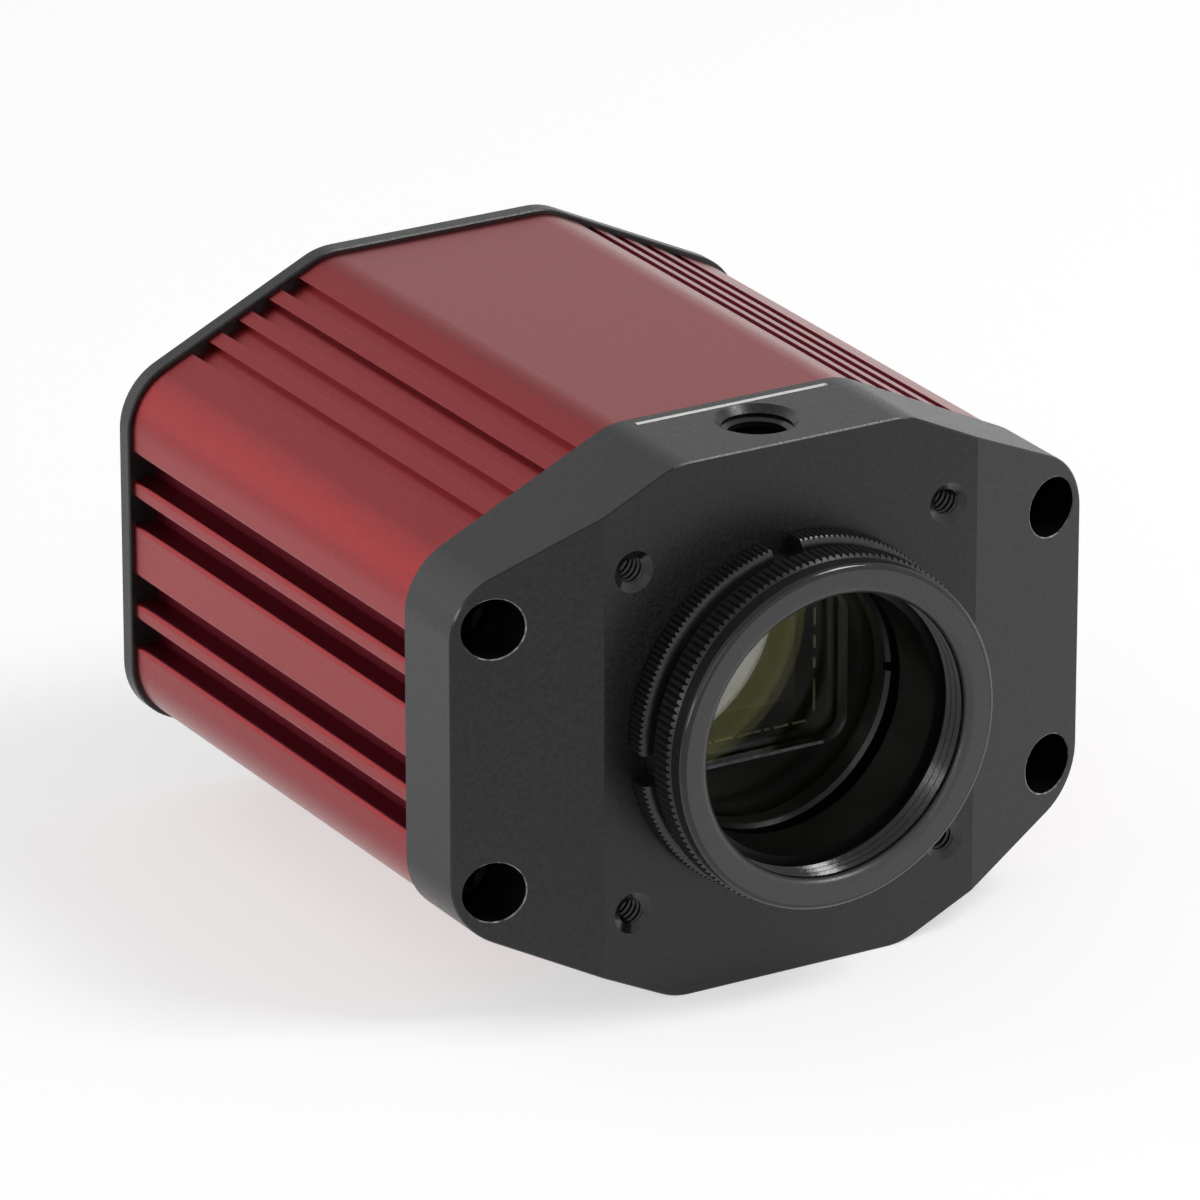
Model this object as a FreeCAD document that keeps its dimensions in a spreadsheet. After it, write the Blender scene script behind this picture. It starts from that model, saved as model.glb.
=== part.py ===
"""Compact scientific camera with a threaded lens mount, a finned housing and a rear connector panel.

The frame is in millimetres: the origin is the centre of the four cage taps on the front plate's
flat face, which is also a point of the optical axis. The lens side looks along -Y and +Z is up.
"""
import FreeCAD, Part
import os
import re

import Sketcher

SIZES = {
    # outline that the two end plates share: an octagon with rounded corners
    "outline_width": 60.4,
    "outline_height": 47.0,
    "top_flat": 22.0,
    "slope_angle": 25.4,
    "corner_round": 6.0,
    "edge_break": 0.12,
    # front plate, read from its front face to its rear face
    "barrel_engage": 2.0,
    "barrel_gap": 1.5,
    "ring_thick": 2.0,
    "window_thick": 1.0,
    "seal_thick": 0.3,
    "web_thick": 1.2,
    "pocket_depth": 2.8,
    "panel_margin": 2.8,
    "wing_angle": 15.5,
    # plate fixings and the interfaces on the plate
    "screw_inset": 3.5,
    "screw_drop": 2.85,
    "screw_seat": 1.0,
    "counterbore_radius": 2.6,
    "cage_spacing": 30.0,
    "cage_tap_radius": 1.13,
    "cage_tap_depth": 6.0,
    "cage_mouth_radius": 1.8,
    "cage_mouth_depth": 0.4,
    "post_setback": 5.65,
    "post_tap_radius": 2.55,
    "post_tap_depth": 7.5,
    "post_mouth_radius": 3.6,
    "index_length": 18.2,
    "index_width": 0.5,
    "index_depth": 0.15,
    "index_lead": 0.4,
    # lens adapter and its lock ring
    "flange_focal": 17.526,
    "flange_radius": 15.24,
    "flange_chamfer": 0.25,
    "barrel_radius": 13.1445,
    "mount_bore_radius": 12.3,
    "mount_thread_length": 3.4,
    "mouth_round": 0.8,
    "relief_radius": 12.7,
    "relief_length": 0.6,
    "barrel_wall": 1.5,
    "thread_clearance": 0.05,
    "lock_ring_radius": 15.55,
    "lock_ring_thick": 2.1,
    "lock_gap": 1.2,
    "seat_gap": 0.03,
    "lock_slot_width": 2.75,
    "lock_slot_depth": 1.6,
    "lock_slot_turn": 6.6,
    # window behind the mount
    "window_clearance": 0.2,
    "seal_width": 1.0,
    "ring_land": 1.7,
    "ring_notch_width": 0.8,
    "ring_notch_depth": 0.7,
    "opening_width": 18.3,
    "opening_height": 13.4,
    "opening_round": 2.0,
    "opening_bevel": 0.2,
    # image sensor and its board
    "die_width": 15.6,
    "die_height": 11.6,
    "die_thick": 0.4,
    "cavity_rim": 1.2,
    "lid_rim": 2.1,
    "package_rim": 2.9,
    "package_floor": 0.874,
    "lid_gap": 1.2,
    "lid_thick": 0.5,
    "pocket_clearance": 0.4,
    "pad_thick": 0.5,
    "pad_width": 3.0,
    # finned housing
    "housing_inset": 0.4,
    "housing_length": 47.6,
    "side_wall": 7.3,
    "top_wall": 4.6,
    "slope_wall": 3.2,
    "side_land": 4.74,
    "side_groove": 2.4,
    "side_fin": 1.6,
    "side_groove_depth": 2.2,
    "fin_round": 0.45,
    "slope_groove_start": 3.2,
    "slope_groove": 1.8,
    "slope_fin": 1.42,
    "slope_groove_depth": 0.73,
    # board stack
    "board_thick": 1.6,
    "connector_room": 6.8,
    "board_clearance": 1.0,
    "spacer_inset": 3.0,
    "spacer_radius": 2.3,
    "stud_radius": 1.2,
    "stud_length": 6.0,
    "stud_hole_radius": 1.25,
    "stud_hole_depth": 5.5,
    "board_screw_head": 2.2,
    "board_screw_rise": 1.6,
    "board_screw_length": 5.0,
    "processor_width": 15.0,
    "processor_thick": 2.0,
    "memory_width": 6.0,
    "memory_height": 9.0,
    "memory_thick": 1.1,
    "chip_gap": 1.5,
    "link_width": 22.0,
    "link_height": 4.6,
    # plate screws
    "screw_radius": 1.25,
    "screw_hole_radius": 1.35,
    "front_head_radius": 2.25,
    "front_head_rise": 2.2,
    "front_screw_length": 11.0,
    "rear_head_radius": 2.35,
    "rear_head_rise": 1.4,
    "rear_screw_length": 9.0,
    "screw_tap_depth": 12.0,
    "socket_radius": 1.2,
    "socket_depth": 1.1,
    # rear plate and its connectors
    "rear_plate_thick": 1.6,
    "panel_clearance": 0.15,
    "data_width": 12.4,
    "data_height": 4.2,
    "data_reach": 0.6,
    "data_round": 0.9,
    "data_shell": 0.4,
    "data_tongue": 0.9,
    "data_tongue_inset": 1.2,
    "data_depth": 5.2,
    "nut_margin": 0.8,
    "nut_spacing": 18.0,
    "nut_radius": 1.9,
    "nut_flange_radius": 2.4,
    "nut_flange": 1.0,
    "nut_tap_radius": 0.85,
    "trigger_gap": 1.3,
    "trigger_radius": 5.0,
    "trigger_reach": 2.9,
    "trigger_bore_radius": 4.1,
    "insert_thick": 3.1,
    "trigger_flange_radius": 6.2,
    "trigger_flange": 0.9,
    "trigger_nut_radius": 6.8,
    "trigger_nut": 2.0,
    "pin_radius": 0.35,
    "pin_length": 3.8,
    "pin_circle_outer": 2.9,
    "pin_circle_inner": 1.3,
    "lamp_radius": 1.1,
    "lamp_reach": 0.4,
    "lamp_inset": 4.0,
}
BOARDS = 4
SLOPE_GROOVES = 4
SIDE_GROOVES = 2
LOCK_SLOTS = 4
OUTER_PINS = 8
INNER_PINS = 4
CUT_MARGIN = 1.0
NEAR = 0.001
FRONT_VIEW = "XZ_Plane"
PLAN_VIEW = "XY_Plane"
ALONG_Y = FreeCAD.Rotation(FreeCAD.Vector(1, 0, 0), -90)

doc = FreeCAD.newDocument("scientific_camera")
sheet = doc.addObject("Spreadsheet::Sheet", "dims")
for row, (alias, size) in enumerate(SIZES.items(), start=1):
    sheet.set(f"A{row}", alias)
    sheet.set(f"B{row}", str(size))
    sheet.setAlias(f"B{row}", alias)
doc.recompute()


# Formulas on the sheet

def on_sheet(text):
    """Returns a formula with each size's name pointing at its cell."""
    return re.sub(r"[a-z_]+", lambda word: f"dims.{word[0]}" if word[0] in SIZES else word[0], text)


def measure(text):
    """Works a formula out to a number, in millimetres."""
    return float(sheet.evalExpression(on_sheet(text)))


def bind(thing, formulas):
    """Ties properties of a document object to formulas."""
    for name, text in formulas.items():
        thing.setExpression(name, on_sheet(text))


HALF_WIDTH = "(outline_width / 2)"
HALF_HEIGHT = "(outline_height / 2)"
HALF_PANEL = "(cage_spacing / 2 + panel_margin)"
SLOPE = "(slope_angle * 1 deg)"
BODY_HALF_WIDTH = f"({HALF_WIDTH} - housing_inset)"
SIDE_CORNER = f"({HALF_HEIGHT} - ({HALF_WIDTH} - top_flat / 2) * tan{SLOPE})"
SCREW_X = f"({HALF_WIDTH} - screw_inset)"
SCREW_Z = f"({SIDE_CORNER} - screw_drop)"

# stations along the optical axis, from the front to the rear
RING_FRONT = "(barrel_engage + barrel_gap)"
WINDOW_FRONT = f"({RING_FRONT} + ring_thick)"
SEAL_FRONT = f"({WINDOW_FRONT} + window_thick)"
WINDOW_SEAT = f"({SEAL_FRONT} + seal_thick)"
PLATE_REAR = f"({WINDOW_SEAT} + web_thick + pocket_depth)"
SENSOR_BOARD = f"({PLATE_REAR} + pad_thick)"
SENSOR_PLANE = f"({SENSOR_BOARD} - package_floor - die_thick)"
FLANGE_FRONT = f"({SENSOR_PLANE} - flange_focal)"
LOCK_RING_REAR = "(-seat_gap)"
LOCK_RING_FRONT = f"({LOCK_RING_REAR} - lock_ring_thick)"
FLANGE_REAR = f"({LOCK_RING_FRONT} - lock_gap)"
HOUSING_REAR = f"({PLATE_REAR} + housing_length)"
REAR_FACE = f"({HOUSING_REAR} + rear_plate_thick)"
INTERFACE_REAR = f"({HOUSING_REAR} - connector_room)"
BOARD_GAP = f"(({INTERFACE_REAR} - {SENSOR_BOARD} - {BOARDS} * board_thick) / {BOARDS - 1})"
BOARD_PITCH = f"(board_thick + {BOARD_GAP})"
PROCESSING_BOARD = f"({SENSOR_BOARD} + {BOARD_PITCH})"
POWER_BOARD = f"({PROCESSING_BOARD} + {BOARD_PITCH})"
INTERFACE_BOARD = f"({INTERFACE_REAR} - board_thick)"
PLATE_BORE_RADIUS = "(barrel_radius + thread_clearance)"
WINDOW_RADIUS = f"({PLATE_BORE_RADIUS} - window_clearance)"
PACKAGE_WIDTH = "(die_width + 2 * package_rim)"
PACKAGE_HEIGHT = "(die_height + 2 * package_rim)"
POCKET_WIDTH = f"({PACKAGE_WIDTH} + 2 * pocket_clearance)"
POCKET_HEIGHT = f"({PACKAGE_HEIGHT} + 2 * pocket_clearance)"

# hollow of the housing, and the boards that lie in it
CAVITY_HALF_WIDTH = f"({BODY_HALF_WIDTH} - side_wall)"
CAVITY_HALF_HEIGHT = f"({HALF_HEIGHT} - housing_inset - top_wall)"
CAVITY_SLOPE_TOP = f"({HALF_HEIGHT} - (housing_inset + slope_wall) / cos{SLOPE})"
CAVITY_FLAT = f"(top_flat / 2 + ({CAVITY_SLOPE_TOP} - {CAVITY_HALF_HEIGHT}) / tan{SLOPE})"
CAVITY_SIDE = f"({CAVITY_SLOPE_TOP} - ({CAVITY_HALF_WIDTH} - top_flat / 2) * tan{SLOPE})"
BOARD_HALF_WIDTH = f"({CAVITY_HALF_WIDTH} - board_clearance)"
BOARD_HALF_HEIGHT = f"({CAVITY_SIDE} - board_clearance)"
SPACER_X = f"({BOARD_HALF_WIDTH} - spacer_inset)"
SPACER_Z = f"({BOARD_HALF_HEIGHT} - spacer_inset)"

# places of the rear connectors, side by side across the hollow
DATA_X = f"(nut_spacing / 2 + nut_flange_radius + nut_margin - {CAVITY_HALF_WIDTH})"
TRIGGER_X = f"({DATA_X} + nut_spacing / 2 + nut_flange_radius + trigger_gap + trigger_nut_radius)"
LAMP_Z = f"({BOARD_HALF_HEIGHT} - lamp_inset)"


# Sketches and the features made from them

def new_sketch(body, name, role, offset="0"):
    """Starts a sketch on one of the body's own planes, moved along the plane's normal."""
    sketch = body.newObject("Sketcher::SketchObject", name)
    plane = next(part for part in body.Origin.OriginFeatures if part.Role == role)
    sketch.AttachmentSupport = (plane, [""])
    sketch.MapMode = "FlatFace"
    bind(sketch, {"AttachmentOffset.Base.z": offset})
    return sketch


def front_sketch(body, name, depth="0"):
    """Starts a sketch seen from the lens side, at a depth behind the origin."""
    return new_sketch(body, name, FRONT_VIEW, f"-({depth})")


def hold_point(sketch, geometry, point, x, y):
    """Ties one point of a sketch to two formulas, counted from the sketch's origin."""
    for direction, text in (("DistanceX", x), ("DistanceY", y)):
        rule = Sketcher.Constraint(direction, -1, 1, geometry, point, measure(text))
        index = sketch.addConstraint(rule)
        bind(sketch, {f"Constraints[{index}]": text})


def add_polygon(sketch, corners):
    """Draws a closed polygon whose corners are pairs of formulas."""
    first = sketch.GeometryCount
    places = [FreeCAD.Vector(measure(x), measure(y), 0) for x, y in corners]
    following = places[1:] + places[:1]
    for start, end in zip(places, following):
        sketch.addGeometry(Part.LineSegment(start, end))
    for index, (x, y) in enumerate(corners):
        after = (index + 1) % len(corners)
        sketch.addConstraint(Sketcher.Constraint("Coincident", first + index, 2, first + after, 1))
        hold_point(sketch, first + index, 1, x, y)


def add_rectangle(sketch, x, y, width, height):
    """Draws a rectangle about a centre."""
    left, right = f"{x} - {width} / 2", f"{x} + {width} / 2"
    low, high = f"{y} - {height} / 2", f"{y} + {height} / 2"
    add_polygon(sketch, [(left, low), (right, low), (right, high), (left, high)])


def add_circle(sketch, x, y, radius):
    """Draws a circle."""
    centre = FreeCAD.Vector(measure(x), measure(y), 0)
    circle = sketch.addGeometry(Part.Circle(centre, FreeCAD.Vector(0, 0, 1), measure(radius)))
    hold_point(sketch, circle, 3, x, y)
    index = sketch.addConstraint(Sketcher.Constraint("Radius", circle, measure(radius)))
    bind(sketch, {f"Constraints[{index}]": radius})


def pad(body, sketch, length):
    """Extrudes a front sketch backwards."""
    feature = body.newObject("PartDesign::Pad", f"{sketch.Name}_pad")
    feature.Profile = sketch
    feature.Reversed = True
    bind(feature, {"Length": length})
    doc.recompute()
    return feature


def pocket(body, sketch, depth=None, against=False):
    """Cuts a sketch into the body, through all of it where no depth is given."""
    before = body.Shape.Volume
    feature = body.newObject("PartDesign::Pocket", f"{sketch.Name}_cut")
    feature.Profile = sketch
    feature.Reversed = against
    if depth is None:
        feature.Type = "ThroughAll"
    else:
        bind(feature, {"Length": depth})
    doc.recompute()
    if body.Shape.Volume >= before:
        raise RuntimeError(f"{sketch.Name} cut nothing")
    return feature


def turn(body, profile):
    """Turns a profile of radius and depth pairs about the optical axis."""
    sketch = new_sketch(body, f"{body.Name}_profile", PLAN_VIEW)
    add_polygon(sketch, profile)
    feature = body.newObject("PartDesign::Revolution", f"{body.Name}_turned")
    feature.Profile = sketch
    feature.ReferenceAxis = (sketch, ["V_Axis"])
    feature.Angle = 360
    doc.recompute()
    return feature


def dress(body, kind, name, edges, size):
    """Rounds or chamfers named edges of the body's last feature."""
    base = body.Tip
    feature = body.newObject(f"PartDesign::{kind}", name)
    feature.Base = (base, edges)
    bind(feature, {"Radius" if kind == "Fillet" else "Size": size})
    doc.recompute()
    return feature


def edges_where(body, wanted):
    """Names the edges of the body's last feature that pass a test."""
    return [f"Edge{i}" for i, edge in enumerate(body.Tip.Shape.Edges, start=1) if wanted(edge)]


def runs_along_depth(edge):
    """Tells whether an edge is a straight line along Y."""
    box = edge.BoundBox
    return box.XLength < NEAR and box.ZLength < NEAR


def lies_at_depth(edge, depth):
    """Tells whether an edge lies in the plane at a depth."""
    box = edge.BoundBox
    return box.YLength < NEAR and abs(box.YMin - measure(depth)) < NEAR


def circle_edges(body, radius, places):
    """Names the circular edges of a radius that are centred on given points."""
    spots = [FreeCAD.Vector(*(measure(text) for text in place)) for place in places]

    def fits(edge):
        if not isinstance(edge.Curve, Part.Circle):
            return False
        same = abs(edge.Curve.Radius - measure(radius)) < NEAR
        return same and any(edge.Curve.Center.isEqual(spot, NEAR) for spot in spots)

    return edges_where(body, fits)


def four_places(x, z):
    """Returns a place and its mirror images left to right and top to bottom."""
    return [(f"{across} * {x}", f"{up} * {z}") for across in (1, -1) for up in (1, -1)]


def eight_sided(half_width, half_height, flat, side):
    """Returns the corners of an octagon with level top, upright sides and sloping shoulders."""
    upper = [(flat, half_height), (half_width, side)]
    right = upper + [(x, f"-{z}") for x, z in reversed(upper)]
    return right + [(f"-{x}", z) for x, z in reversed(right)]


def outline(inset="0"):
    """Returns the camera's octagon, drawn in by an inset on every side."""
    half_width = f"({HALF_WIDTH} - {inset})"
    half_height = f"({HALF_HEIGHT} - {inset})"
    flat = f"(top_flat / 2 - {inset} * tan({SLOPE} / 2))"
    side = f"({half_height} - ({half_width} - {flat}) * tan{SLOPE})"
    return eight_sided(half_width, half_height, flat, side)


# Plain solids and their groups

def rod(name, radius, start, length, x="0", z="0"):
    """Makes a cylinder along Y."""
    cylinder = doc.addObject("Part::Cylinder", name)
    cylinder.Placement = FreeCAD.Placement(FreeCAD.Vector(), ALONG_Y)
    bind(cylinder, {"Radius": radius, "Height": length})
    bind(cylinder, {"Placement.Base.x": x, "Placement.Base.y": start, "Placement.Base.z": z})
    return cylinder


def hexagon(name, radius, start, length, x="0", z="0"):
    """Makes a hexagonal bar along Y."""
    prism = doc.addObject("Part::Prism", name)
    prism.Polygon = 6
    prism.Placement = FreeCAD.Placement(FreeCAD.Vector(), ALONG_Y)
    bind(prism, {"Circumradius": radius, "Height": length})
    bind(prism, {"Placement.Base.x": x, "Placement.Base.y": start, "Placement.Base.z": z})
    return prism


def block(name, x, start, z, width, depth, height):
    """Makes a box centred across and up, that runs back from a depth."""
    box = doc.addObject("Part::Box", name)
    bind(box, {"Length": width, "Width": depth, "Height": height})
    bind(box, {"Placement.Base.x": f"{x} - {width} / 2", "Placement.Base.y": start})
    bind(box, {"Placement.Base.z": f"{z} - {height} / 2"})
    return box


def fuse(name, base, tool):
    """Joins two solids into one."""
    joined = doc.addObject("Part::Fuse", name)
    joined.Base = base
    joined.Tool = tool
    return joined


def cut(name, base, tool):
    """Takes one solid out of another."""
    left = doc.addObject("Part::Cut", name)
    left.Base = base
    left.Tool = tool
    return left


def group(name, members):
    """Puts separate solids in one node."""
    together = doc.addObject("Part::Compound", name)
    together.Links = members
    return together


def mirrored(name, source, normal):
    """Makes a mirror image across a plane through the origin."""
    image = doc.addObject("Part::Mirroring", name)
    image.Source = source
    image.Normal = FreeCAD.Vector(*normal)
    return image


def four_corners(name, source):
    """Groups a piece with its mirror images left to right and top to bottom."""
    pair = group(f"{name}_pair", [source, mirrored(f"{name}_across", source, (1, 0, 0))])
    return group(f"{name}_group", [pair, mirrored(f"{name}_below", pair, (0, 0, 1))])


def socket_screw(name, head, shank_start, shank_length, socket_start):
    """Adds a shank and a hexagon socket to the head of a plate screw."""
    shank = rod(f"{name}_shank", "screw_radius", shank_start, shank_length, SCREW_X, SCREW_Z)
    socket = hexagon(f"{name}_socket", "socket_radius", socket_start, "socket_depth", SCREW_X, SCREW_Z)
    return cut(f"{name}_driven", fuse(f"{name}_blank", head, shank), socket)


pieces = {}


def keep(label, piece):
    """Names a finished sub-part, which is then written to a file of that name."""
    piece.Label = label
    pieces[label] = piece


def new_body(label):
    """Starts a body for one sub-part."""
    body = doc.addObject("PartDesign::Body", f"{label}_body")
    keep(label, body)
    return body


# Front plate: a milled octagonal block with swept-back wings, the lens bore and every mounting tap

plate = new_body("front_plate")
plate_outline = front_sketch(plate, "plate_outline")
add_polygon(plate_outline, outline())
pad(plate, plate_outline, PLATE_REAR)
dress(plate, "Fillet", "plate_corners", edges_where(plate, runs_along_depth), "corner_round")
wings = new_sketch(plate, "plate_wings", PLAN_VIEW, f"{HALF_HEIGHT} + {CUT_MARGIN}")
wing_tip = f"({HALF_WIDTH} + {CUT_MARGIN})"
wing_setback = f"({wing_tip} - {HALF_PANEL}) * tan(wing_angle * 1 deg)"
for across in ("1", "-1"):
    add_polygon(wings, [(f"{across} * {HALF_PANEL}", "0"),
                        (f"{across} * {wing_tip}", f"-{CUT_MARGIN}"),
                        (f"{across} * {wing_tip}", wing_setback)])
pocket(plate, wings)


def on_front_rim(edge):
    """Tells whether an edge is part of the plate's front outline and not a ridge of the wings."""
    box = edge.BoundBox
    is_ridge = box.XLength < NEAR and abs(abs(box.XMin) - measure(HALF_PANEL)) < NEAR
    return box.YMax < measure(PLATE_REAR) - NEAR and not is_ridge


dress(plate, "Chamfer", "plate_edge_break", edges_where(plate, on_front_rim), "edge_break")
lens_bore = front_sketch(plate, "plate_lens_bore")
add_circle(lens_bore, "0", "0", PLATE_BORE_RADIUS)
pocket(plate, lens_bore, WINDOW_SEAT)
light_opening = front_sketch(plate, "plate_light_opening", WINDOW_SEAT)
add_rectangle(light_opening, "0", "0", "opening_width", "opening_height")
pocket(plate, light_opening)


def on_light_opening(edge):
    """Tells whether an edge belongs to the light opening."""
    box = edge.BoundBox
    inside = max(abs(box.XMin), abs(box.XMax)) < measure("opening_width / 2") + NEAR
    return inside and max(abs(box.ZMin), abs(box.ZMax)) < measure("opening_height / 2") + NEAR


opening_corners = edges_where(plate, lambda edge: runs_along_depth(edge) and on_light_opening(edge))
dress(plate, "Fillet", "plate_opening_corners", opening_corners, "opening_round")
opening_rim = edges_where(plate, lambda edge: lies_at_depth(edge, WINDOW_SEAT) and on_light_opening(edge))
dress(plate, "Chamfer", "plate_opening_bevel", opening_rim, "opening_bevel")
sensor_pocket = front_sketch(plate, "plate_sensor_pocket", PLATE_REAR)
add_rectangle(sensor_pocket, "0", "0", POCKET_WIDTH, POCKET_HEIGHT)
pocket(plate, sensor_pocket, "pocket_depth", against=True)
counterbores = front_sketch(plate, "plate_counterbores")
screw_holes = front_sketch(plate, "plate_screw_holes")
for x, z in four_places(SCREW_X, SCREW_Z):
    add_circle(counterbores, x, z, "counterbore_radius")
    add_circle(screw_holes, x, z, "screw_hole_radius")
pocket(plate, counterbores, f"{PLATE_REAR} - screw_seat")
pocket(plate, screw_holes)
cage_taps = front_sketch(plate, "plate_cage_taps")
cage_places = four_places("(cage_spacing / 2)", "(cage_spacing / 2)")
for x, z in cage_places:
    add_circle(cage_taps, x, z, "cage_tap_radius")
pocket(plate, cage_taps, "cage_tap_depth")
cage_mouths = circle_edges(plate, "cage_tap_radius", [(x, "0", z) for x, z in cage_places])
mouths = dress(plate, "Chamfer", "plate_cage_mouths", cage_mouths, "cage_mouth_radius - cage_tap_radius")
mouths.ChamferType = "Two distances"
bind(mouths, {"Size2": "cage_mouth_depth"})
doc.recompute()
for up, where in (("1", "top"), ("-1", "bottom")):
    post_tap = new_sketch(plate, f"plate_{where}_post_tap", PLAN_VIEW, f"{up} * {HALF_HEIGHT}")
    add_circle(post_tap, "0", "post_setback", "post_tap_radius")
    pocket(plate, post_tap, "post_tap_depth", against=where == "bottom")
    post_mouth = circle_edges(plate, "post_tap_radius", [("0", "post_setback", f"{up} * {HALF_HEIGHT}")])
    dress(plate, "Chamfer", f"plate_{where}_post_mouth", post_mouth, "post_mouth_radius - post_tap_radius")
index_mark = new_sketch(plate, "plate_index_mark", PLAN_VIEW, HALF_HEIGHT)
add_rectangle(index_mark, "0", f"({SENSOR_PLANE} - index_lead)", "index_length", "index_width")
pocket(plate, index_mark, "index_depth")
stud_taps = front_sketch(plate, "plate_stud_taps", PLATE_REAR)
for x, z in four_places(SPACER_X, SPACER_Z):
    add_circle(stud_taps, x, z, "stud_hole_radius")
pocket(plate, stud_taps, "stud_hole_depth", against=True)

# Lens adapter: a turned flange and threaded barrel, with the lens thread in its mouth

adapter = new_body("lens_adapter")
barrel_end = "barrel_engage"
barrel_bore = "(barrel_radius - barrel_wall)"
thread_end = f"({FLANGE_FRONT} + mount_thread_length)"
relief_end = f"({thread_end} + relief_length)"
turn(adapter, [
    ("mount_bore_radius", FLANGE_FRONT),
    ("flange_radius", FLANGE_FRONT),
    ("flange_radius", FLANGE_REAR),
    ("barrel_radius", FLANGE_REAR),
    ("barrel_radius", barrel_end),
    (barrel_bore, barrel_end),
    (barrel_bore, relief_end),
    ("relief_radius", relief_end),
    ("relief_radius", thread_end),
    ("mount_bore_radius", thread_end),
])
mouth_edge = circle_edges(adapter, "mount_bore_radius", [("0", FLANGE_FRONT, "0")])
dress(adapter, "Fillet", "adapter_mouth", mouth_edge, "mouth_round")
rim_edge = circle_edges(adapter, "flange_radius", [("0", FLANGE_FRONT, "0")])
dress(adapter, "Chamfer", "adapter_rim", rim_edge, "flange_chamfer")

# Lock ring: runs on the adapter's barrel and jams it against the plate, with slots for a spanner

lock_ring = new_body("lock_ring")
turn(lock_ring, [
    (PLATE_BORE_RADIUS, LOCK_RING_FRONT),
    ("lock_ring_radius", LOCK_RING_FRONT),
    ("lock_ring_radius", LOCK_RING_REAR),
    (PLATE_BORE_RADIUS, LOCK_RING_REAR),
])
lock_slots = front_sketch(lock_ring, "lock_slots", LOCK_RING_FRONT)
slot_length = f"(lock_slot_depth + {CUT_MARGIN})"
slot_middle = f"(lock_ring_radius - lock_slot_depth + {slot_length} / 2)"
add_rectangle(lock_slots, slot_middle, "0", slot_length, "lock_slot_width")
first_slot = pocket(lock_ring, lock_slots)
slot_ring = lock_ring.newObject("PartDesign::PolarPattern", "lock_slot_ring")
slot_ring.Originals = [first_slot]
slot_ring.Axis = (lock_slots, ["N_Axis"])
slot_ring.Angle = 360
slot_ring.Occurrences = LOCK_SLOTS
lock_ring.Tip = slot_ring
lock_ring.Placement = FreeCAD.Placement(FreeCAD.Vector(), FreeCAD.Rotation(FreeCAD.Vector(0, -1, 0), 1))
bind(lock_ring, {"Placement.Rotation.Angle": "lock_slot_turn * 1 deg"})

# Window group: a glass disc on a flat seal, held down by a slotted ring in the plate's own thread

retaining_ring = new_body("window_retaining_ring")
turn(retaining_ring, [
    ("barrel_radius - ring_land", RING_FRONT),
    ("barrel_radius", RING_FRONT),
    ("barrel_radius", WINDOW_FRONT),
    ("barrel_radius - ring_land", WINDOW_FRONT),
])
ring_notches = front_sketch(retaining_ring, "ring_notches", RING_FRONT)
add_rectangle(ring_notches, "0", "0", f"2 * (barrel_radius + {CUT_MARGIN})", "ring_notch_width")
pocket(retaining_ring, ring_notches, "ring_notch_depth")
keep("protective_window", rod("window_disc", WINDOW_RADIUS, WINDOW_FRONT, "window_thick"))
seal = new_body("window_seal")
turn(seal, [
    (f"{WINDOW_RADIUS} - seal_width", SEAL_FRONT),
    (WINDOW_RADIUS, SEAL_FRONT),
    (WINDOW_RADIUS, WINDOW_SEAT),
    (f"{WINDOW_RADIUS} - seal_width", WINDOW_SEAT),
])

# Image sensor: a silicon die in a ceramic package under a glass lid

LID_REAR = f"({SENSOR_PLANE} - lid_gap)"
die_floor = f"({SENSOR_PLANE} + die_thick)"
keep("sensor_die", block("die", "0", SENSOR_PLANE, "0", "die_width", "die_thick", "die_height"))
package_blank = block("package_blank", "0", LID_REAR, "0", PACKAGE_WIDTH,
                      f"({SENSOR_BOARD} - {LID_REAR})", PACKAGE_HEIGHT)
package_cavity = block("package_cavity", "0", LID_REAR, "0", "(die_width + 2 * cavity_rim)",
                       f"({die_floor} - {LID_REAR})", "(die_height + 2 * cavity_rim)")
keep("sensor_package", cut("package", package_blank, package_cavity))
keep("sensor_lid", block("lid", "0", f"{LID_REAR} - lid_thick", "0", "(die_width + 2 * lid_rim)",
                         "lid_thick", "(die_height + 2 * lid_rim)"))

# Gap pad: a soft frame that carries the sensor's heat from its board to the front plate

gap_pad = new_body("gap_pad")
pad_frame = front_sketch(gap_pad, "gap_pad_frame", PLATE_REAR)
add_rectangle(pad_frame, "0", "0", f"({POCKET_WIDTH} + 2 * pad_width)", f"({POCKET_HEIGHT} + 2 * pad_width)")
add_rectangle(pad_frame, "0", "0", POCKET_WIDTH, POCKET_HEIGHT)
pad(gap_pad, pad_frame, "pad_thick")

# Board stack: four boards on hexagonal spacers, one behind the other


def board(label, front):
    """Makes one circuit board with a hole at each spacer."""
    body = new_body(label)
    shape = front_sketch(body, f"{label}_shape", front)
    add_rectangle(shape, "0", "0", f"(2 * {BOARD_HALF_WIDTH})", f"(2 * {BOARD_HALF_HEIGHT})")
    for x, z in four_places(SPACER_X, SPACER_Z):
        add_circle(shape, x, z, "stud_hole_radius")
    pad(body, shape, "board_thick")


def spacers(name, board_front):
    """Makes the four spacers that stand on a board's rear face, each with a stud through the board."""
    start = f"({board_front} + board_thick)"
    bar = hexagon(f"{name}_bar", "spacer_radius", start, BOARD_GAP, SPACER_X, SPACER_Z)
    stud = rod(f"{name}_stud", "stud_radius", f"{start} - stud_length", "stud_length", SPACER_X, SPACER_Z)
    tap = rod(f"{name}_tap", "stud_hole_radius", f"{start} + {BOARD_GAP} - stud_hole_depth",
              "stud_hole_depth", SPACER_X, SPACER_Z)
    return four_corners(name, cut(f"{name}_tapped", fuse(f"{name}_blank", bar, stud), tap))


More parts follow.
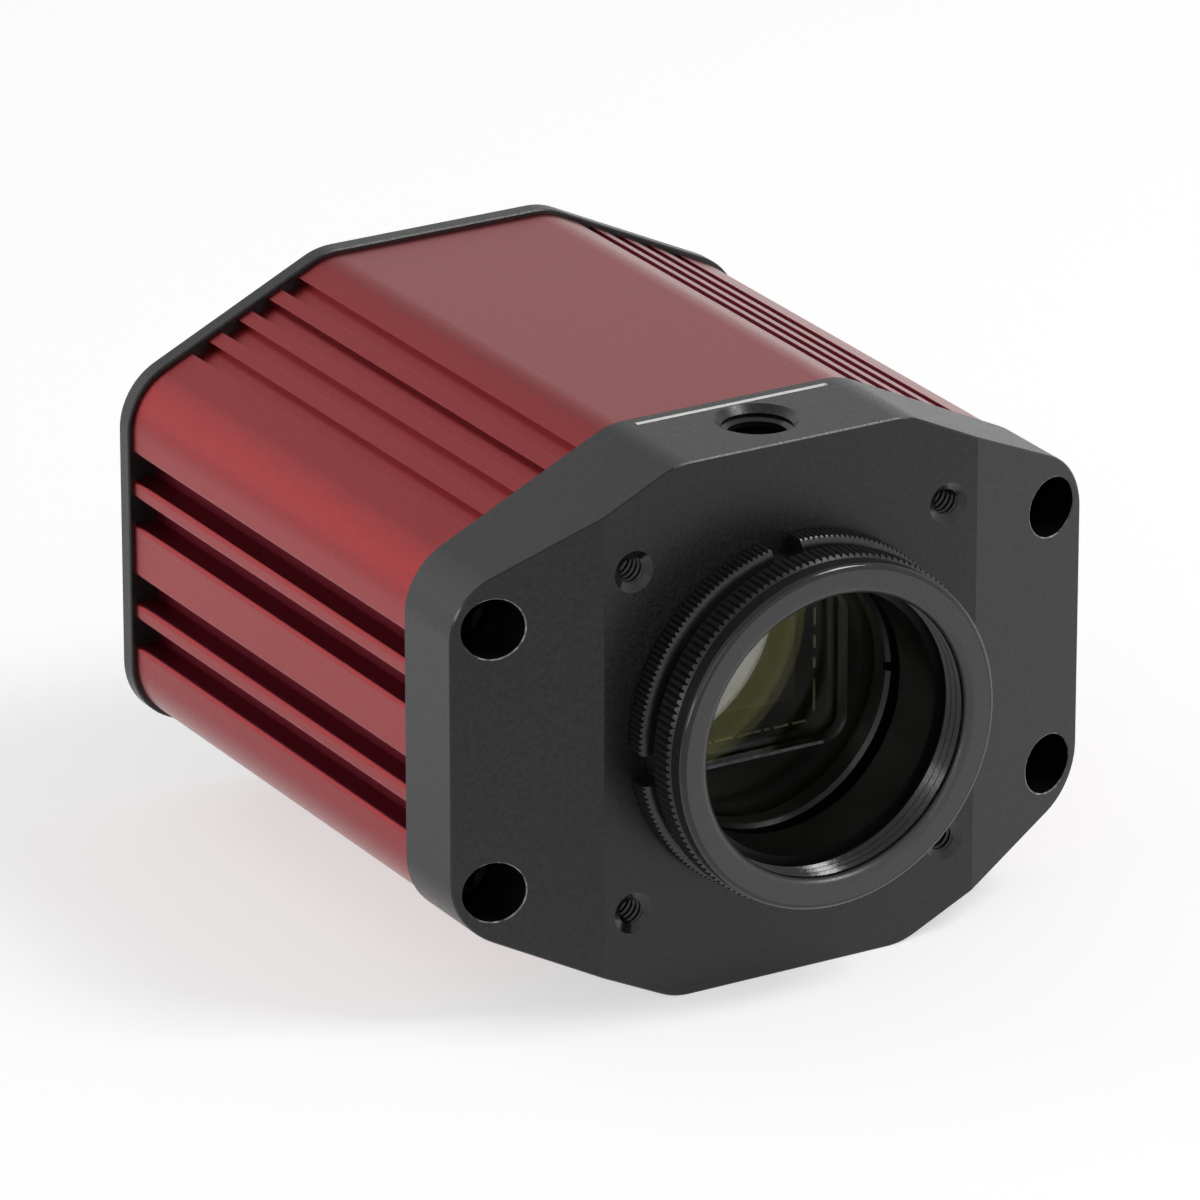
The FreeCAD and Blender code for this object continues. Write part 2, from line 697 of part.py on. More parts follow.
def link(name, board_front):
    """Makes the connector that joins a board to the next one."""
    start = f"({board_front} + board_thick)"
    middle = f"(link_height / 2 - {BOARD_HALF_HEIGHT})"
    return block(name, "0", start, middle, "link_width", BOARD_GAP, "link_height")


stack = {"sensor": SENSOR_BOARD, "processing": PROCESSING_BOARD, "power": POWER_BOARD}
for name, front in stack.items():
    board(f"{name}_board", front)
board("interface_board", INTERFACE_BOARD)
all_spacers = [spacers(f"{name}_spacer", front) for name, front in stack.items()]
keep("board_spacers", group("all_spacers", all_spacers))
all_links = [link(f"{name}_link", front) for name, front in stack.items()]
keep("board_links", group("all_links", all_links))
board_head = rod("board_screw_top", "board_screw_head", INTERFACE_REAR, "board_screw_rise",
                 SPACER_X, SPACER_Z)
board_shank = rod("board_screw_shank", "stud_radius", f"{INTERFACE_REAR} - board_screw_length",
                  "board_screw_length", SPACER_X, SPACER_Z)
board_screw = fuse("board_screw", board_head, board_shank)
keep("board_screws", four_corners("board_screw", board_screw))
PROCESSING_REAR = f"({PROCESSING_BOARD} + board_thick)"
chip_middle = f"(link_height + chip_gap + processor_width / 2 - {BOARD_HALF_HEIGHT})"
keep("image_processor", block("processor", "0", PROCESSING_REAR, chip_middle, "processor_width",
                              "processor_thick", "processor_width"))
memory_middle = "(processor_width / 2 + chip_gap + memory_width / 2)"
memory = block("memory", memory_middle, PROCESSING_REAR, chip_middle, "memory_width", "memory_thick",
               "memory_height")
keep("memory_chips", group("memory_pair", [memory, mirrored("memory_across", memory, (1, 0, 0))]))

# Housing: an extruded tube whose sides and shoulders are grooved into cooling fins

housing = new_body("housing")
housing_outline = front_sketch(housing, "housing_outline", PLATE_REAR)
add_polygon(housing_outline, outline("housing_inset"))
pad(housing, housing_outline, "housing_length")
dress(housing, "Fillet", "housing_corners", edges_where(housing, runs_along_depth),
      "corner_round - housing_inset")
cavity = front_sketch(housing, "housing_cavity", PLATE_REAR)
add_polygon(cavity, eight_sided(CAVITY_HALF_WIDTH, CAVITY_HALF_HEIGHT, CAVITY_FLAT, CAVITY_SIDE))
pocket(housing, cavity)
side_grooves = front_sketch(housing, "housing_side_grooves", PLATE_REAR)
side_floor = f"({BODY_HALF_WIDTH} - side_groove_depth)"
side_groove_middles = []
for row in range(SIDE_GROOVES):
    side_groove_middles.append(f"((side_land + side_groove) / 2 + {row} * (side_groove + side_fin))")
groove_run = f"(side_groove_depth + {CUT_MARGIN})"
for middle in side_groove_middles:
    for x, z in four_places(f"({side_floor} + {groove_run} / 2)", middle):
        add_rectangle(side_grooves, x, z, groove_run, "side_groove")
pocket(housing, side_grooves)


def on_fin_tip(edge):
    """Tells whether an edge is the outer edge of a groove in the housing's side."""
    box = edge.BoundBox
    outside = abs(box.XMin) > measure(f"{side_floor} + side_groove_depth / 2")
    gaps = [abs(abs(box.ZMin) - measure(middle)) for middle in side_groove_middles]
    at_groove = any(abs(gap - measure("side_groove / 2")) < NEAR for gap in gaps)
    return runs_along_depth(edge) and outside and at_groove


dress(housing, "Fillet", "housing_fin_tips", edges_where(housing, on_fin_tip), "fin_round")


def on_shoulder(along, below):
    """Returns the point of the right upper shoulder at a run along it and a depth below the outline."""
    x = f"(top_flat / 2 + ({along}) * cos{SLOPE} - ({below}) * sin{SLOPE})"
    z = f"({HALF_HEIGHT} - ({along}) * sin{SLOPE} - ({below}) * cos{SLOPE})"
    return x, z


shoulders = {"upper_right": (1, 1), "upper_left": (-1, 1), "lower_right": (1, -1), "lower_left": (-1, -1)}
for where, (across, up) in shoulders.items():
    shoulder_grooves = front_sketch(housing, f"housing_{where}_grooves", PLATE_REAR)
    for row in range(SLOPE_GROOVES):
        start = f"slope_groove_start + {row} * (slope_groove + slope_fin)"
        end = f"{start} + slope_groove"
        mouth = f"housing_inset - {CUT_MARGIN}"
        floor = "housing_inset + slope_groove_depth"
        ring = [(start, mouth), (end, mouth), (end, floor), (start, floor)]
        points = [on_shoulder(along, below) for along, below in ring]
        add_polygon(shoulder_grooves, [(f"{across} * {x}", f"{up} * {z}") for x, z in points])
    pocket(housing, shoulder_grooves)
for where, station, against in (("front", PLATE_REAR, False), ("rear", HOUSING_REAR, True)):
    screw_taps = front_sketch(housing, f"housing_{where}_taps", station)
    for x, z in four_places(SCREW_X, SCREW_Z):
        add_circle(screw_taps, x, z, "screw_radius + thread_clearance")
    pocket(housing, screw_taps, "screw_tap_depth", against=against)

# Rear plate: a thin milled lid of the same outline, cut out for the connectors and the status lamp

rear_plate = new_body("rear_plate")
rear_outline = front_sketch(rear_plate, "rear_outline", HOUSING_REAR)
add_polygon(rear_outline, outline())
pad(rear_plate, rear_outline, "rear_plate_thick")
dress(rear_plate, "Fillet", "rear_corners", edges_where(rear_plate, runs_along_depth), "corner_round")
dress(rear_plate, "Chamfer", "rear_edge_break",
      edges_where(rear_plate, lambda edge: not runs_along_depth(edge)), "edge_break")
rear_openings = front_sketch(rear_plate, "rear_openings", HOUSING_REAR)
for x, z in four_places(SCREW_X, SCREW_Z):
    add_circle(rear_openings, x, z, "screw_hole_radius")
for across in (1, -1):
    nut_place = f"{DATA_X} + {across} * nut_spacing / 2"
    add_circle(rear_openings, nut_place, "0", "nut_radius + thread_clearance")
add_circle(rear_openings, TRIGGER_X, "0", "trigger_radius + panel_clearance")
add_circle(rear_openings, DATA_X, LAMP_Z, "lamp_radius + panel_clearance")
pocket(rear_plate, rear_openings)
data_window = front_sketch(rear_plate, "rear_data_window", HOUSING_REAR)
add_rectangle(data_window, DATA_X, "0", "(data_width + 2 * panel_clearance)",
              "(data_height + 2 * panel_clearance)")
pocket(rear_plate, data_window)


def on_data_window(edge):
    """Tells whether an edge is a corner of the data connector's window."""
    box = edge.BoundBox
    off_centre = abs(box.XMin - measure(DATA_X))
    at_corner = abs(off_centre - measure("data_width / 2 + panel_clearance")) < NEAR
    return runs_along_depth(edge) and at_corner


dress(rear_plate, "Fillet", "rear_window_corners", edges_where(rear_plate, on_data_window),
      "data_round + panel_clearance")

# Plate screws: socket screws sunk in the front plate, and low round heads on the rear plate

head_seat = f"({PLATE_REAR} - screw_seat)"
head_front = f"({head_seat} - front_head_rise)"
front_head = rod("front_screw_head", "front_head_radius", head_front, "front_head_rise", SCREW_X, SCREW_Z)
front_screw = socket_screw("front_screw", front_head, head_seat, "front_screw_length", head_front)
keep("front_plate_screws", four_corners("front_screw", front_screw))
rear_head = rod("rear_screw_head", "rear_head_radius", REAR_FACE, "rear_head_rise", SCREW_X, SCREW_Z)
rear_screw = socket_screw("rear_screw", rear_head, f"{REAR_FACE} - rear_screw_length", "rear_screw_length",
                          f"{REAR_FACE} + rear_head_rise - socket_depth")
keep("rear_plate_screws", four_corners("rear_screw", rear_screw))

# Data connector: a folded metal shell round a contact tongue, with a threaded nut on each side

data_mouth = f"({REAR_FACE} + data_reach)"
data_shell = new_body("data_connector_shell")
shell_outline = front_sketch(data_shell, "data_shell_outline", INTERFACE_REAR)
add_rectangle(shell_outline, DATA_X, "0", "data_width", "data_height")
pad(data_shell, shell_outline, f"({data_mouth} - {INTERFACE_REAR})")
dress(data_shell, "Fillet", "data_shell_corners", edges_where(data_shell, runs_along_depth), "data_round")
shell_mouth = front_sketch(data_shell, "data_shell_mouth", data_mouth)
add_rectangle(shell_mouth, DATA_X, "0", "(data_width - 2 * data_shell)",
              "(data_height - 2 * data_shell)")
pocket(data_shell, shell_mouth, "data_depth", against=True)
keep("data_connector_tongue", block("tongue", DATA_X, f"({data_mouth} - data_depth)", "0",
                                    "(data_width - 2 * data_shell - 2 * data_tongue_inset)",
                                    "(data_depth - data_shell)", "data_tongue"))
nut_x = f"({DATA_X} + nut_spacing / 2)"
nut_flange = rod("nut_flange", "nut_flange_radius", f"{HOUSING_REAR} - nut_flange", "nut_flange", nut_x)
nut_barrel = rod("nut_barrel", "nut_radius", HOUSING_REAR, "(rear_plate_thick + data_reach)", nut_x)
nut_tap = rod("nut_tap", "nut_tap_radius", f"{HOUSING_REAR} - nut_flange",
              "(nut_flange + rear_plate_thick + data_reach)", nut_x)
nut = cut("nut", fuse("nut_blank", nut_flange, nut_barrel), nut_tap)
other_nut = mirrored("other_nut", nut, (1, 0, 0))
bind(other_nut, {"Base.x": DATA_X})
keep("data_connector_nuts", group("nut_pair", [nut, other_nut]))

# Trigger connector: a round flanged socket with its nut behind the plate, an insert and its pins


def shifted_turn(label, profile):
    """Turns a profile about its own axis and sets it at the trigger connector's place."""
    body = new_body(label)
    turn(body, profile)
    bind(body, {"Placement.Base.x": TRIGGER_X})
    return body


trigger_mouth = f"({REAR_FACE} + trigger_reach)"
insert_face = f"({INTERFACE_REAR} + insert_thick)"
shifted_turn("trigger_connector_shell", [
    ("trigger_bore_radius", INTERFACE_REAR),
    ("trigger_radius", INTERFACE_REAR),
    ("trigger_radius", REAR_FACE),
    ("trigger_flange_radius", REAR_FACE),
    ("trigger_flange_radius", f"{REAR_FACE} + trigger_flange"),
    ("trigger_radius", f"{REAR_FACE} + trigger_flange"),
    ("trigger_radius", trigger_mouth),
    ("trigger_bore_radius", trigger_mouth),
])
keep("trigger_connector_insert", rod("insert", "trigger_bore_radius - thread_clearance", INTERFACE_REAR,
                                     "insert_thick", TRIGGER_X))
pins = []
for count, circle in ((OUTER_PINS, "pin_circle_outer"), (INNER_PINS, "pin_circle_inner")):
    for step in range(count):
        angle = f"({step} * 360 deg / {count})"
        pin_x, pin_z = f"({TRIGGER_X} + {circle} * cos{angle})", f"({circle} * sin{angle})"
        pins.append(rod(f"{circle}_{step}", "pin_radius", insert_face, "pin_length", pin_x, pin_z))
keep("trigger_connector_pins", group("pins", pins))
nut_bar = hexagon("trigger_nut_bar", "trigger_nut_radius", f"{HOUSING_REAR} - trigger_nut", "trigger_nut",
                  TRIGGER_X)
nut_bore = rod("trigger_nut_bore", "trigger_radius + thread_clearance", f"{HOUSING_REAR} - trigger_nut",
               "trigger_nut", TRIGGER_X)
keep("trigger_connector_nut", cut("trigger_nut", nut_bar, nut_bore))

# Status lamp: a clear light pipe that stands on the last board and shows through the rear plate

lamp_length = f"({REAR_FACE} + lamp_reach - {INTERFACE_REAR})"
keep("status_lamp", rod("lamp", "lamp_radius", INTERFACE_REAR, lamp_length, DATA_X, LAMP_Z))

# Every object is sound before anything is written

doc.recompute()
for thing in doc.Objects:
    if "Invalid" in thing.State or "Error" in thing.State:
        raise RuntimeError(f"{thing.Name} failed")
for label, piece in pieces.items():
    if piece.Label != label or piece.Shape.isNull() or not piece.Shape.isValid():
        raise RuntimeError(f"{label} has no sound shape")
os.makedirs("parts", exist_ok=True)
for label, piece in pieces.items():
    piece.Shape.exportStep(f"parts/{label}.step")
    print(label, len(piece.Shape.Solids), round(piece.Shape.Volume, 1))
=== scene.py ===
import math

import bmesh
import bpy
from mathutils import Matrix, Vector


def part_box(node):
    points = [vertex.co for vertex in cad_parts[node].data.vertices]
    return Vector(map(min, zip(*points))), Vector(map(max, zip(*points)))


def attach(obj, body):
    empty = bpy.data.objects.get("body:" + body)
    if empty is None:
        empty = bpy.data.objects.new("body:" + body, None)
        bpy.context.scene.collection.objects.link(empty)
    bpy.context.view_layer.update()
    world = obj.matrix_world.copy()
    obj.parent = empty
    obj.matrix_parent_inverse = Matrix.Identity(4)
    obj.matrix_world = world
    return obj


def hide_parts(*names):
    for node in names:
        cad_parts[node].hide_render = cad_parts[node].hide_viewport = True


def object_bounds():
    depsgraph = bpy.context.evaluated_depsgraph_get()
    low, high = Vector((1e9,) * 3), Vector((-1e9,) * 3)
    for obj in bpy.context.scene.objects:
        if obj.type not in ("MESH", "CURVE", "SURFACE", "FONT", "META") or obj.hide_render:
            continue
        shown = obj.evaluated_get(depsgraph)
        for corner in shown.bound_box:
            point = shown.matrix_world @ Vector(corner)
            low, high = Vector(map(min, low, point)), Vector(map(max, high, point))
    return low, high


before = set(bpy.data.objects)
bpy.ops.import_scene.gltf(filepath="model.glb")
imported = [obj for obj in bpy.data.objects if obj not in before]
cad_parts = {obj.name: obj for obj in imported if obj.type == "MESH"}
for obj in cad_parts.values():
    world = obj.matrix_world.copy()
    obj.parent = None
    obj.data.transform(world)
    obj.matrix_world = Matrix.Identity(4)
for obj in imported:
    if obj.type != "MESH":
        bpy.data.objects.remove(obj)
cad_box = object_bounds()

# Front plate: a milled aluminium octagon with two swept-back wings, blasted and anodised black.
# It carries the lens bore, four cage taps, a post tap above and below, and four screw counterbores.
MM = 0.001
CASE = "camera_body"
PLATE_CREASE = 12
CAGE_REACH = 15.0
CAGE_MINOR = 1.13
CAGE_MAJOR = 1.42
CAGE_PITCH = 0.635
CAGE_START = 0.25
CAGE_END = 5.9
CAGE_STEPS = 40
CAGE_MOUTH = 2.1
POST_MOUTH = 4.5
POST_SETBACK = 5.65
POST_MINOR = 2.55
POST_MAJOR = 3.15
POST_PITCH = 1.27
POST_LENGTH = 6.36
POST_START = 0.2
POST_STEPS = 64
WEB_FRONT = 6.8
WEB_REAR = 8.0
BORE_MINOR = 13.1945
BORE_MAJOR = 13.5
BORE_PITCH = 0.635
BORE_START = 0.3
BORE_DEPTH = 3.4
BORE_STEPS = 128
BORE_TURN = 0.4
PLATE_TOP = 23.5
INDEX_FLOOR = 23.35
INDEX_STATION = 9.63
INDEX_HALF = 0.27
SCREW_X = 26.7
SCREW_Z = 11.53
CAP_SEAT = 9.8
COUNTERBORE = 2.6
RIM_BREAK = 0.09
NEAR = 0.01
SHARP = 30
CAD_WELD = 0.002
CAD_FLAT = 0.2
SEAM_WELD = 0.0001
ROOT_FLAT = 0.12
CREST_FLAT = (0.5, 0.58)
CORE_SINK = 0.4
CORE_BORE = 0.02
SORT_LINES = ((0.74, 0.39, 0.55), (0.39, 0.55, 0.74), (0.55, 0.74, 0.39))


def merged(node):
    """Returns a CAD node's mesh with its loose triangles joined and its flat faces whole."""
    shape = bmesh.new()
    shape.from_mesh(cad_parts[node].data)
    bmesh.ops.remove_doubles(shape, verts=shape.verts, dist=CAD_WELD * MM)
    bmesh.ops.dissolve_limit(shape, angle_limit=math.radians(CAD_FLAT), verts=shape.verts,
                             edges=shape.edges)
    return shape


def turned(profile, steps):
    """Turns a closed profile of (radius, station) pairs, in millimetres, about the optical axis."""
    shape = bmesh.new()
    corners = [shape.verts.new((radius * MM, station * MM, 0)) for radius, station in profile]
    edges = [shape.edges.new(pair) for pair in zip(corners, corners[1:] + corners[:1])]
    bmesh.ops.spin(shape, geom=corners + edges, cent=(0, 0, 0), axis=(0, 1, 0), angle=2 * math.pi,
                   steps=steps, use_merge=True)
    bmesh.ops.remove_doubles(shape, verts=shape.verts, dist=SEAM_WELD * MM)
    bmesh.ops.delete(shape, geom=[edge for edge in shape.edges if edge.is_wire], context="EDGES")
    bmesh.ops.recalc_face_normals(shape, faces=shape.faces)
    return shape


def thread_line(root, crest, start, end, pitch):
    """Returns the zigzag of a thread's flank between two stations, as (radius, station) pairs."""
    turns = int((end - start) / pitch)
    line = []
    for turn in range(turns):
        line.append((root, start + turn * pitch))
        line.append((root, start + (turn + ROOT_FLAT) * pitch))
        for along in CREST_FLAT:
            line.append((crest, start + (turn + along) * pitch))
    line.append((root, start + turns * pitch))
    return line


def tap_cutter(minor, major, start, end, pitch, steps):
    """Makes the cutter of a tapped hole along Y: a bar inside the hole, with the thread standing on it."""
    inside = minor - (major - minor) * CORE_SINK
    line = thread_line(inside, major, start, end, pitch)
    return turned([(CORE_BORE, start)] + line + [(CORE_BORE, line[-1][1])], steps)


def added(shape, other, place):
    """Moves a mesh to its place and adds it to another one."""
    mesh = bpy.data.meshes.new("added")
    bmesh.ops.transform(other, matrix=place, verts=other.verts)
    other.to_mesh(mesh)
    other.free()
    shape.from_mesh(mesh)
    bpy.data.meshes.remove(mesh)


def carved(blank, cutter):
    """Returns a blank with the cutter's volume taken out of it."""
    # A spin leaves its faces in no fixed order, and a cut that stays open in one order closes in another.
    for line in SORT_LINES:
        along = Vector(line)
        pair = []
        for name, shape in (("blank", blank), ("cutter", cutter)):
            shape.verts.sort(key=lambda vert: vert.co.dot(along))
            shape.faces.sort(key=lambda face: face.calc_center_median().dot(along))
            mesh = bpy.data.meshes.new(name)
            shape.to_mesh(mesh)
            thing = bpy.data.objects.new(name, mesh)
            bpy.context.scene.collection.objects.link(thing)
            pair.append(thing)
        cut = pair[0].modifiers.new("cut", "BOOLEAN")
        cut.operation = "DIFFERENCE"
        cut.solver = "EXACT"
        cut.object = pair[1]
        bpy.context.view_layer.update()
        left = bmesh.new()
        left.from_object(pair[0], bpy.context.evaluated_depsgraph_get())
        for thing in pair:
            bpy.data.objects.remove(thing)
        if all(edge.is_manifold for edge in left.edges):
            break
    blank.free()
    cutter.free()
    return left


def finished(shape, name, finishes, body, stands_for, crease=SHARP):
    """Makes the object of a mesh, smooth between its creases, and sets it on its body for its CAD node."""
    for face in shape.faces:
        face.smooth = True
    for edge in shape.edges:
        edge.smooth = edge.is_manifold and edge.calc_face_angle() < math.radians(crease)
    mesh = bpy.data.meshes.new(name)
    shape.to_mesh(mesh)
    shape.free()
    for finish in finishes:
        mesh.materials.append(finish)
    piece = bpy.data.objects.new(name, mesh)
    bpy.context.scene.collection.objects.link(piece)
    even = piece.modifiers.new("even_normals", "WEIGHTED_NORMAL")
    even.keep_sharp = True
    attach(piece, body)
    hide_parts(stands_for)


def new_finish(name, colour, steady):
    """Starts a finish: one surface shader, with its steady values on its own sockets."""
    finish = bpy.data.materials.new(name)
    finish.use_nodes = True
    shader = finish.node_tree.nodes["Principled BSDF"]
    shader.inputs["Base Color"].default_value = (*colour, 1)
    for socket, value in steady.items():
        shader.inputs[socket].default_value = value
    return finish


def grain(finish, size, detail=2.0):
    """Adds a noise in the piece's own coordinates whose grains measure so many millimetres on each axis."""
    nodes = finish.node_tree.nodes
    links = finish.node_tree.links
    place = nodes.new("ShaderNodeTexCoord")
    fit = nodes.new("ShaderNodeMapping")
    fit.inputs["Scale"].default_value = [1 / (length * MM) for length in size]
    noise = nodes.new("ShaderNodeTexNoise")
    noise.inputs["Scale"].default_value = 1.0
    noise.inputs["Detail"].default_value = detail
    links.new(place.outputs["Object"], fit.inputs["Vector"])
    links.new(fit.outputs["Vector"], noise.inputs["Vector"])
    return noise.outputs["Fac"]


def vary(finish, pattern, socket, low, high):
    """Moves a number of the finish between two values by a pattern."""
    nodes = finish.node_tree.nodes
    links = finish.node_tree.links
    reach = nodes.new("ShaderNodeMapRange")
    reach.inputs["From Min"].default_value = 0.3
    reach.inputs["From Max"].default_value = 0.7
    reach.inputs["To Min"].default_value = low
    reach.inputs["To Max"].default_value = high
    links.new(pattern, reach.inputs["Value"])
    links.new(reach.outputs["Result"], nodes["Principled BSDF"].inputs[socket])


def tint(finish, pattern, dark, light):
    """Moves the finish's colour between two colours by a pattern."""
    nodes = finish.node_tree.nodes
    links = finish.node_tree.links
    ramp = nodes.new("ShaderNodeValToRGB")
    ramp.color_ramp.elements[0].position = 0.3
    ramp.color_ramp.elements[0].color = (*dark, 1)
    ramp.color_ramp.elements[1].position = 0.7
    ramp.color_ramp.elements[1].color = (*light, 1)
    links.new(pattern, ramp.inputs["Fac"])
    links.new(ramp.outputs["Color"], nodes["Principled BSDF"].inputs["Base Color"])


def relief(finish, pattern, height):
    """Raises the surface by a pattern, up to a height in millimetres, on top of any relief it has."""
    nodes = finish.node_tree.nodes
    links = finish.node_tree.links
    shader = nodes["Principled BSDF"]
    bump = nodes.new("ShaderNodeBump")
    bump.inputs["Strength"].default_value = 1.0
    bump.inputs["Distance"].default_value = height * MM
    links.new(pattern, bump.inputs["Height"])
    if shader.inputs["Normal"].is_linked:
        links.new(shader.inputs["Normal"].links[0].from_socket, bump.inputs["Normal"])
    links.new(bump.outputs["Normal"], shader.inputs["Normal"])


blasted_black = new_finish("blasted_black", (0.013, 0.0132, 0.0136), {
    "IOR": 1.5, "Sheen Weight": 0.3, "Sheen Roughness": 0.12})
tint(blasted_black, grain(blasted_black, (0.4, 0.4, 0.4), 5),
     (0.006, 0.0062, 0.0065), (0.02, 0.0202, 0.0208))
vary(blasted_black, grain(blasted_black, (0.2, 0.2, 0.2)), "Roughness", 0.28, 0.42)
relief(blasted_black, grain(blasted_black, (0.16, 0.16, 0.16)), 0.011)
machined_black = new_finish("machined_black", (0.011, 0.011, 0.0115), {"IOR": 1.55})
tint(machined_black, grain(machined_black, (0.3, 0.3, 0.3), 4),
     (0.008, 0.008, 0.0085), (0.014, 0.014, 0.0145))
vary(machined_black, grain(machined_black, (0.25, 0.25, 0.25)), "Roughness", 0.1, 0.2)
relief(machined_black, grain(machined_black, (0.3, 0.3, 0.3)), 0.004)
# Painted shade: a near-black colour, far darker than the same anodised finish, for the shade deep in the
# counterbores and the lens bores and on the window retaining ring.
painted_shade_black = new_finish("painted_shade_black", (0.0035, 0.0035, 0.0035), {"IOR": 1.4})
tint(painted_shade_black, grain(painted_shade_black, (0.3, 0.3, 0.3), 4),
     (0.0025, 0.0025, 0.0025), (0.0045, 0.0045, 0.0045))
vary(painted_shade_black, grain(painted_shade_black, (0.15, 0.15, 0.15)), "Roughness", 0.32, 0.42)
relief(painted_shade_black, grain(painted_shade_black, (0.2, 0.2, 0.2)), 0.002)
# Painted highlight: a light grey metallic colour on the front bevel of the web opening, for the bright line
# of light along it.
web_painted_highlight = new_finish("web_painted_highlight", (0.3, 0.31, 0.33), {"Metallic": 0.6})
tint(web_painted_highlight, grain(web_painted_highlight, (0.4, 0.4, 0.4), 4), (0.2, 0.21, 0.22), (0.4, 0.41, 0.43))
vary(web_painted_highlight, grain(web_painted_highlight, (0.2, 0.2, 0.2)), "Roughness", 0.35, 0.55)
# Painted highlight: a broken light grey colour on the counterbore rims, for the glints of light along their
# edge breaks.
rim_painted_glint = new_finish("rim_painted_glint", (0.1, 0.1, 0.1), {"IOR": 1.5})
tint(rim_painted_glint, grain(rim_painted_glint, (0.5, 0.5, 0.5), 4), (0.02, 0.02, 0.02), (0.6, 0.6, 0.6))
vary(rim_painted_glint, grain(rim_painted_glint, (0.3, 0.3, 0.3)), "Roughness", 0.2, 0.4)
index_white = new_finish("index_white", (0.88, 0.88, 0.87), {"IOR": 1.45})
vary(index_white, grain(index_white, (0.2, 0.2, 0.2)), "Roughness", 0.45, 0.6)
tint(index_white, grain(index_white, (0.4, 0.4, 0.4)), (0.84, 0.84, 0.83), (0.92, 0.92, 0.91))

plate = merged("front_plate")
rims = []
for edge in plate.edges:
    ends = [vert.co / MM for vert in edge.verts]
    off = [math.hypot(abs(end.x) - SCREW_X, abs(end.z) - SCREW_Z) for end in ends]
    round_hole = max(abs(radius - COUNTERBORE) for radius in off) < 2 * NEAR
    in_front = max(end.y for end in ends) < CAP_SEAT - 1
    if round_hole and in_front and edge.is_manifold and edge.calc_face_angle() > math.radians(SHARP):
        rims.append(edge)
bmesh.ops.bevel(plate, geom=rims, offset=RIM_BREAK * MM, offset_type="OFFSET", segments=2, profile=0.5,
                affect="EDGES", material=-1, clamp_overlap=False)
threads = bmesh.new()
ALONG_Z = Matrix.Rotation(math.radians(90), 4, "X")
for across in (CAGE_REACH, -CAGE_REACH):
    for up in (CAGE_REACH, -CAGE_REACH):
        place = Matrix.Translation((across * MM, 0, up * MM))
        cutter = tap_cutter(CAGE_MINOR, CAGE_MAJOR, CAGE_START, CAGE_END, CAGE_PITCH, CAGE_STEPS)
        added(threads, cutter, place)
for up in (1, -1):
    place = Matrix.Translation((0, POST_SETBACK * MM, 0)) @ ALONG_Z
    middle = up * (PLATE_TOP - POST_LENGTH / 2 - POST_START)
    cutter = tap_cutter(POST_MINOR, POST_MAJOR, middle - POST_LENGTH / 2, middle + POST_LENGTH / 2,
                        POST_PITCH, POST_STEPS)
    added(threads, cutter, place)
# The small turn keeps the cutter's corners off those of the bore's own wall.
bore_place = Matrix.Rotation(math.radians(BORE_TURN), 4, "Y")
bore_cutter = tap_cutter(BORE_MINOR, BORE_MAJOR, BORE_START, BORE_DEPTH, BORE_PITCH, BORE_STEPS)
added(threads, bore_cutter, bore_place)
bmesh.ops.recalc_face_normals(threads, faces=threads.faces)
plate = carved(plate, threads)
for face in plate.faces:
    middle = face.calc_center_median() / MM
    from_axis = math.hypot(middle.x, middle.z)
    from_cage = math.hypot(abs(middle.x) - CAGE_REACH, abs(middle.z) - CAGE_REACH)
    from_post = math.hypot(middle.x, middle.y - POST_SETBACK)
    from_screw = math.hypot(abs(middle.x) - SCREW_X, abs(middle.z) - SCREW_Z)
    below_top = abs(middle.z) < PLATE_TOP - NEAR
    in_cage_tap = from_cage < CAGE_MOUTH and middle.y > NEAR
    on_post_cone = 0.6 < abs(face.normal.z) < 0.8
    in_post_tap = from_post < POST_MAJOR + 5 * NEAR and below_top and not on_post_cone
    on_slope = 0.3 < -face.normal.y < 0.9 and abs(face.normal.x) > 0.2
    on_front_edge = from_axis > BORE_MAJOR and from_post > POST_MOUTH and on_slope
    on_rim = from_screw < COUNTERBORE + 2 * RIM_BREAK and 0.2 < -face.normal.y < 0.93
    wall_or_floor = abs(face.normal.y) < 0.2 or middle.y > CAP_SEAT - 10 * NEAR
    in_counterbore = from_screw < COUNTERBORE + NEAR and wall_or_floor
    sloping = 0.1 < -face.normal.y < 0.9 and abs(face.normal.x) < 0.05
    on_web_edge = from_axis < BORE_MAJOR and WEB_FRONT < middle.y < WEB_FRONT + BORE_START and sloping
    on_opening_wall = WEB_FRONT + 5 * NEAR < middle.y < WEB_REAR and abs(face.normal.y) < 0.9
    in_lens_bore = from_axis < BORE_MAJOR and middle.y > BORE_START and not on_opening_wall
    in_index = INDEX_FLOOR - 2 * NEAR < middle.z and abs(middle.y - INDEX_STATION) < INDEX_HALF
    if in_index and below_top:
        face.material_index = 1
    # The counterbore rims take the painted glint colour.
    elif on_rim:
        face.material_index = 5
    elif in_cage_tap or in_post_tap or on_front_edge:
        face.material_index = 2
    # The web opening's front bevel takes the painted highlight colour.
    elif on_web_edge:
        face.material_index = 4
    # Counterbore walls and floors and the lens bore take the painted shade colour.
    elif in_counterbore or in_lens_bore:
        face.material_index = 3
plate_finishes = [blasted_black, index_white, machined_black, painted_shade_black, web_painted_highlight, rim_painted_glint]
finished(plate, "camera_front_plate", plate_finishes, CASE, "front_plate", PLATE_CREASE)

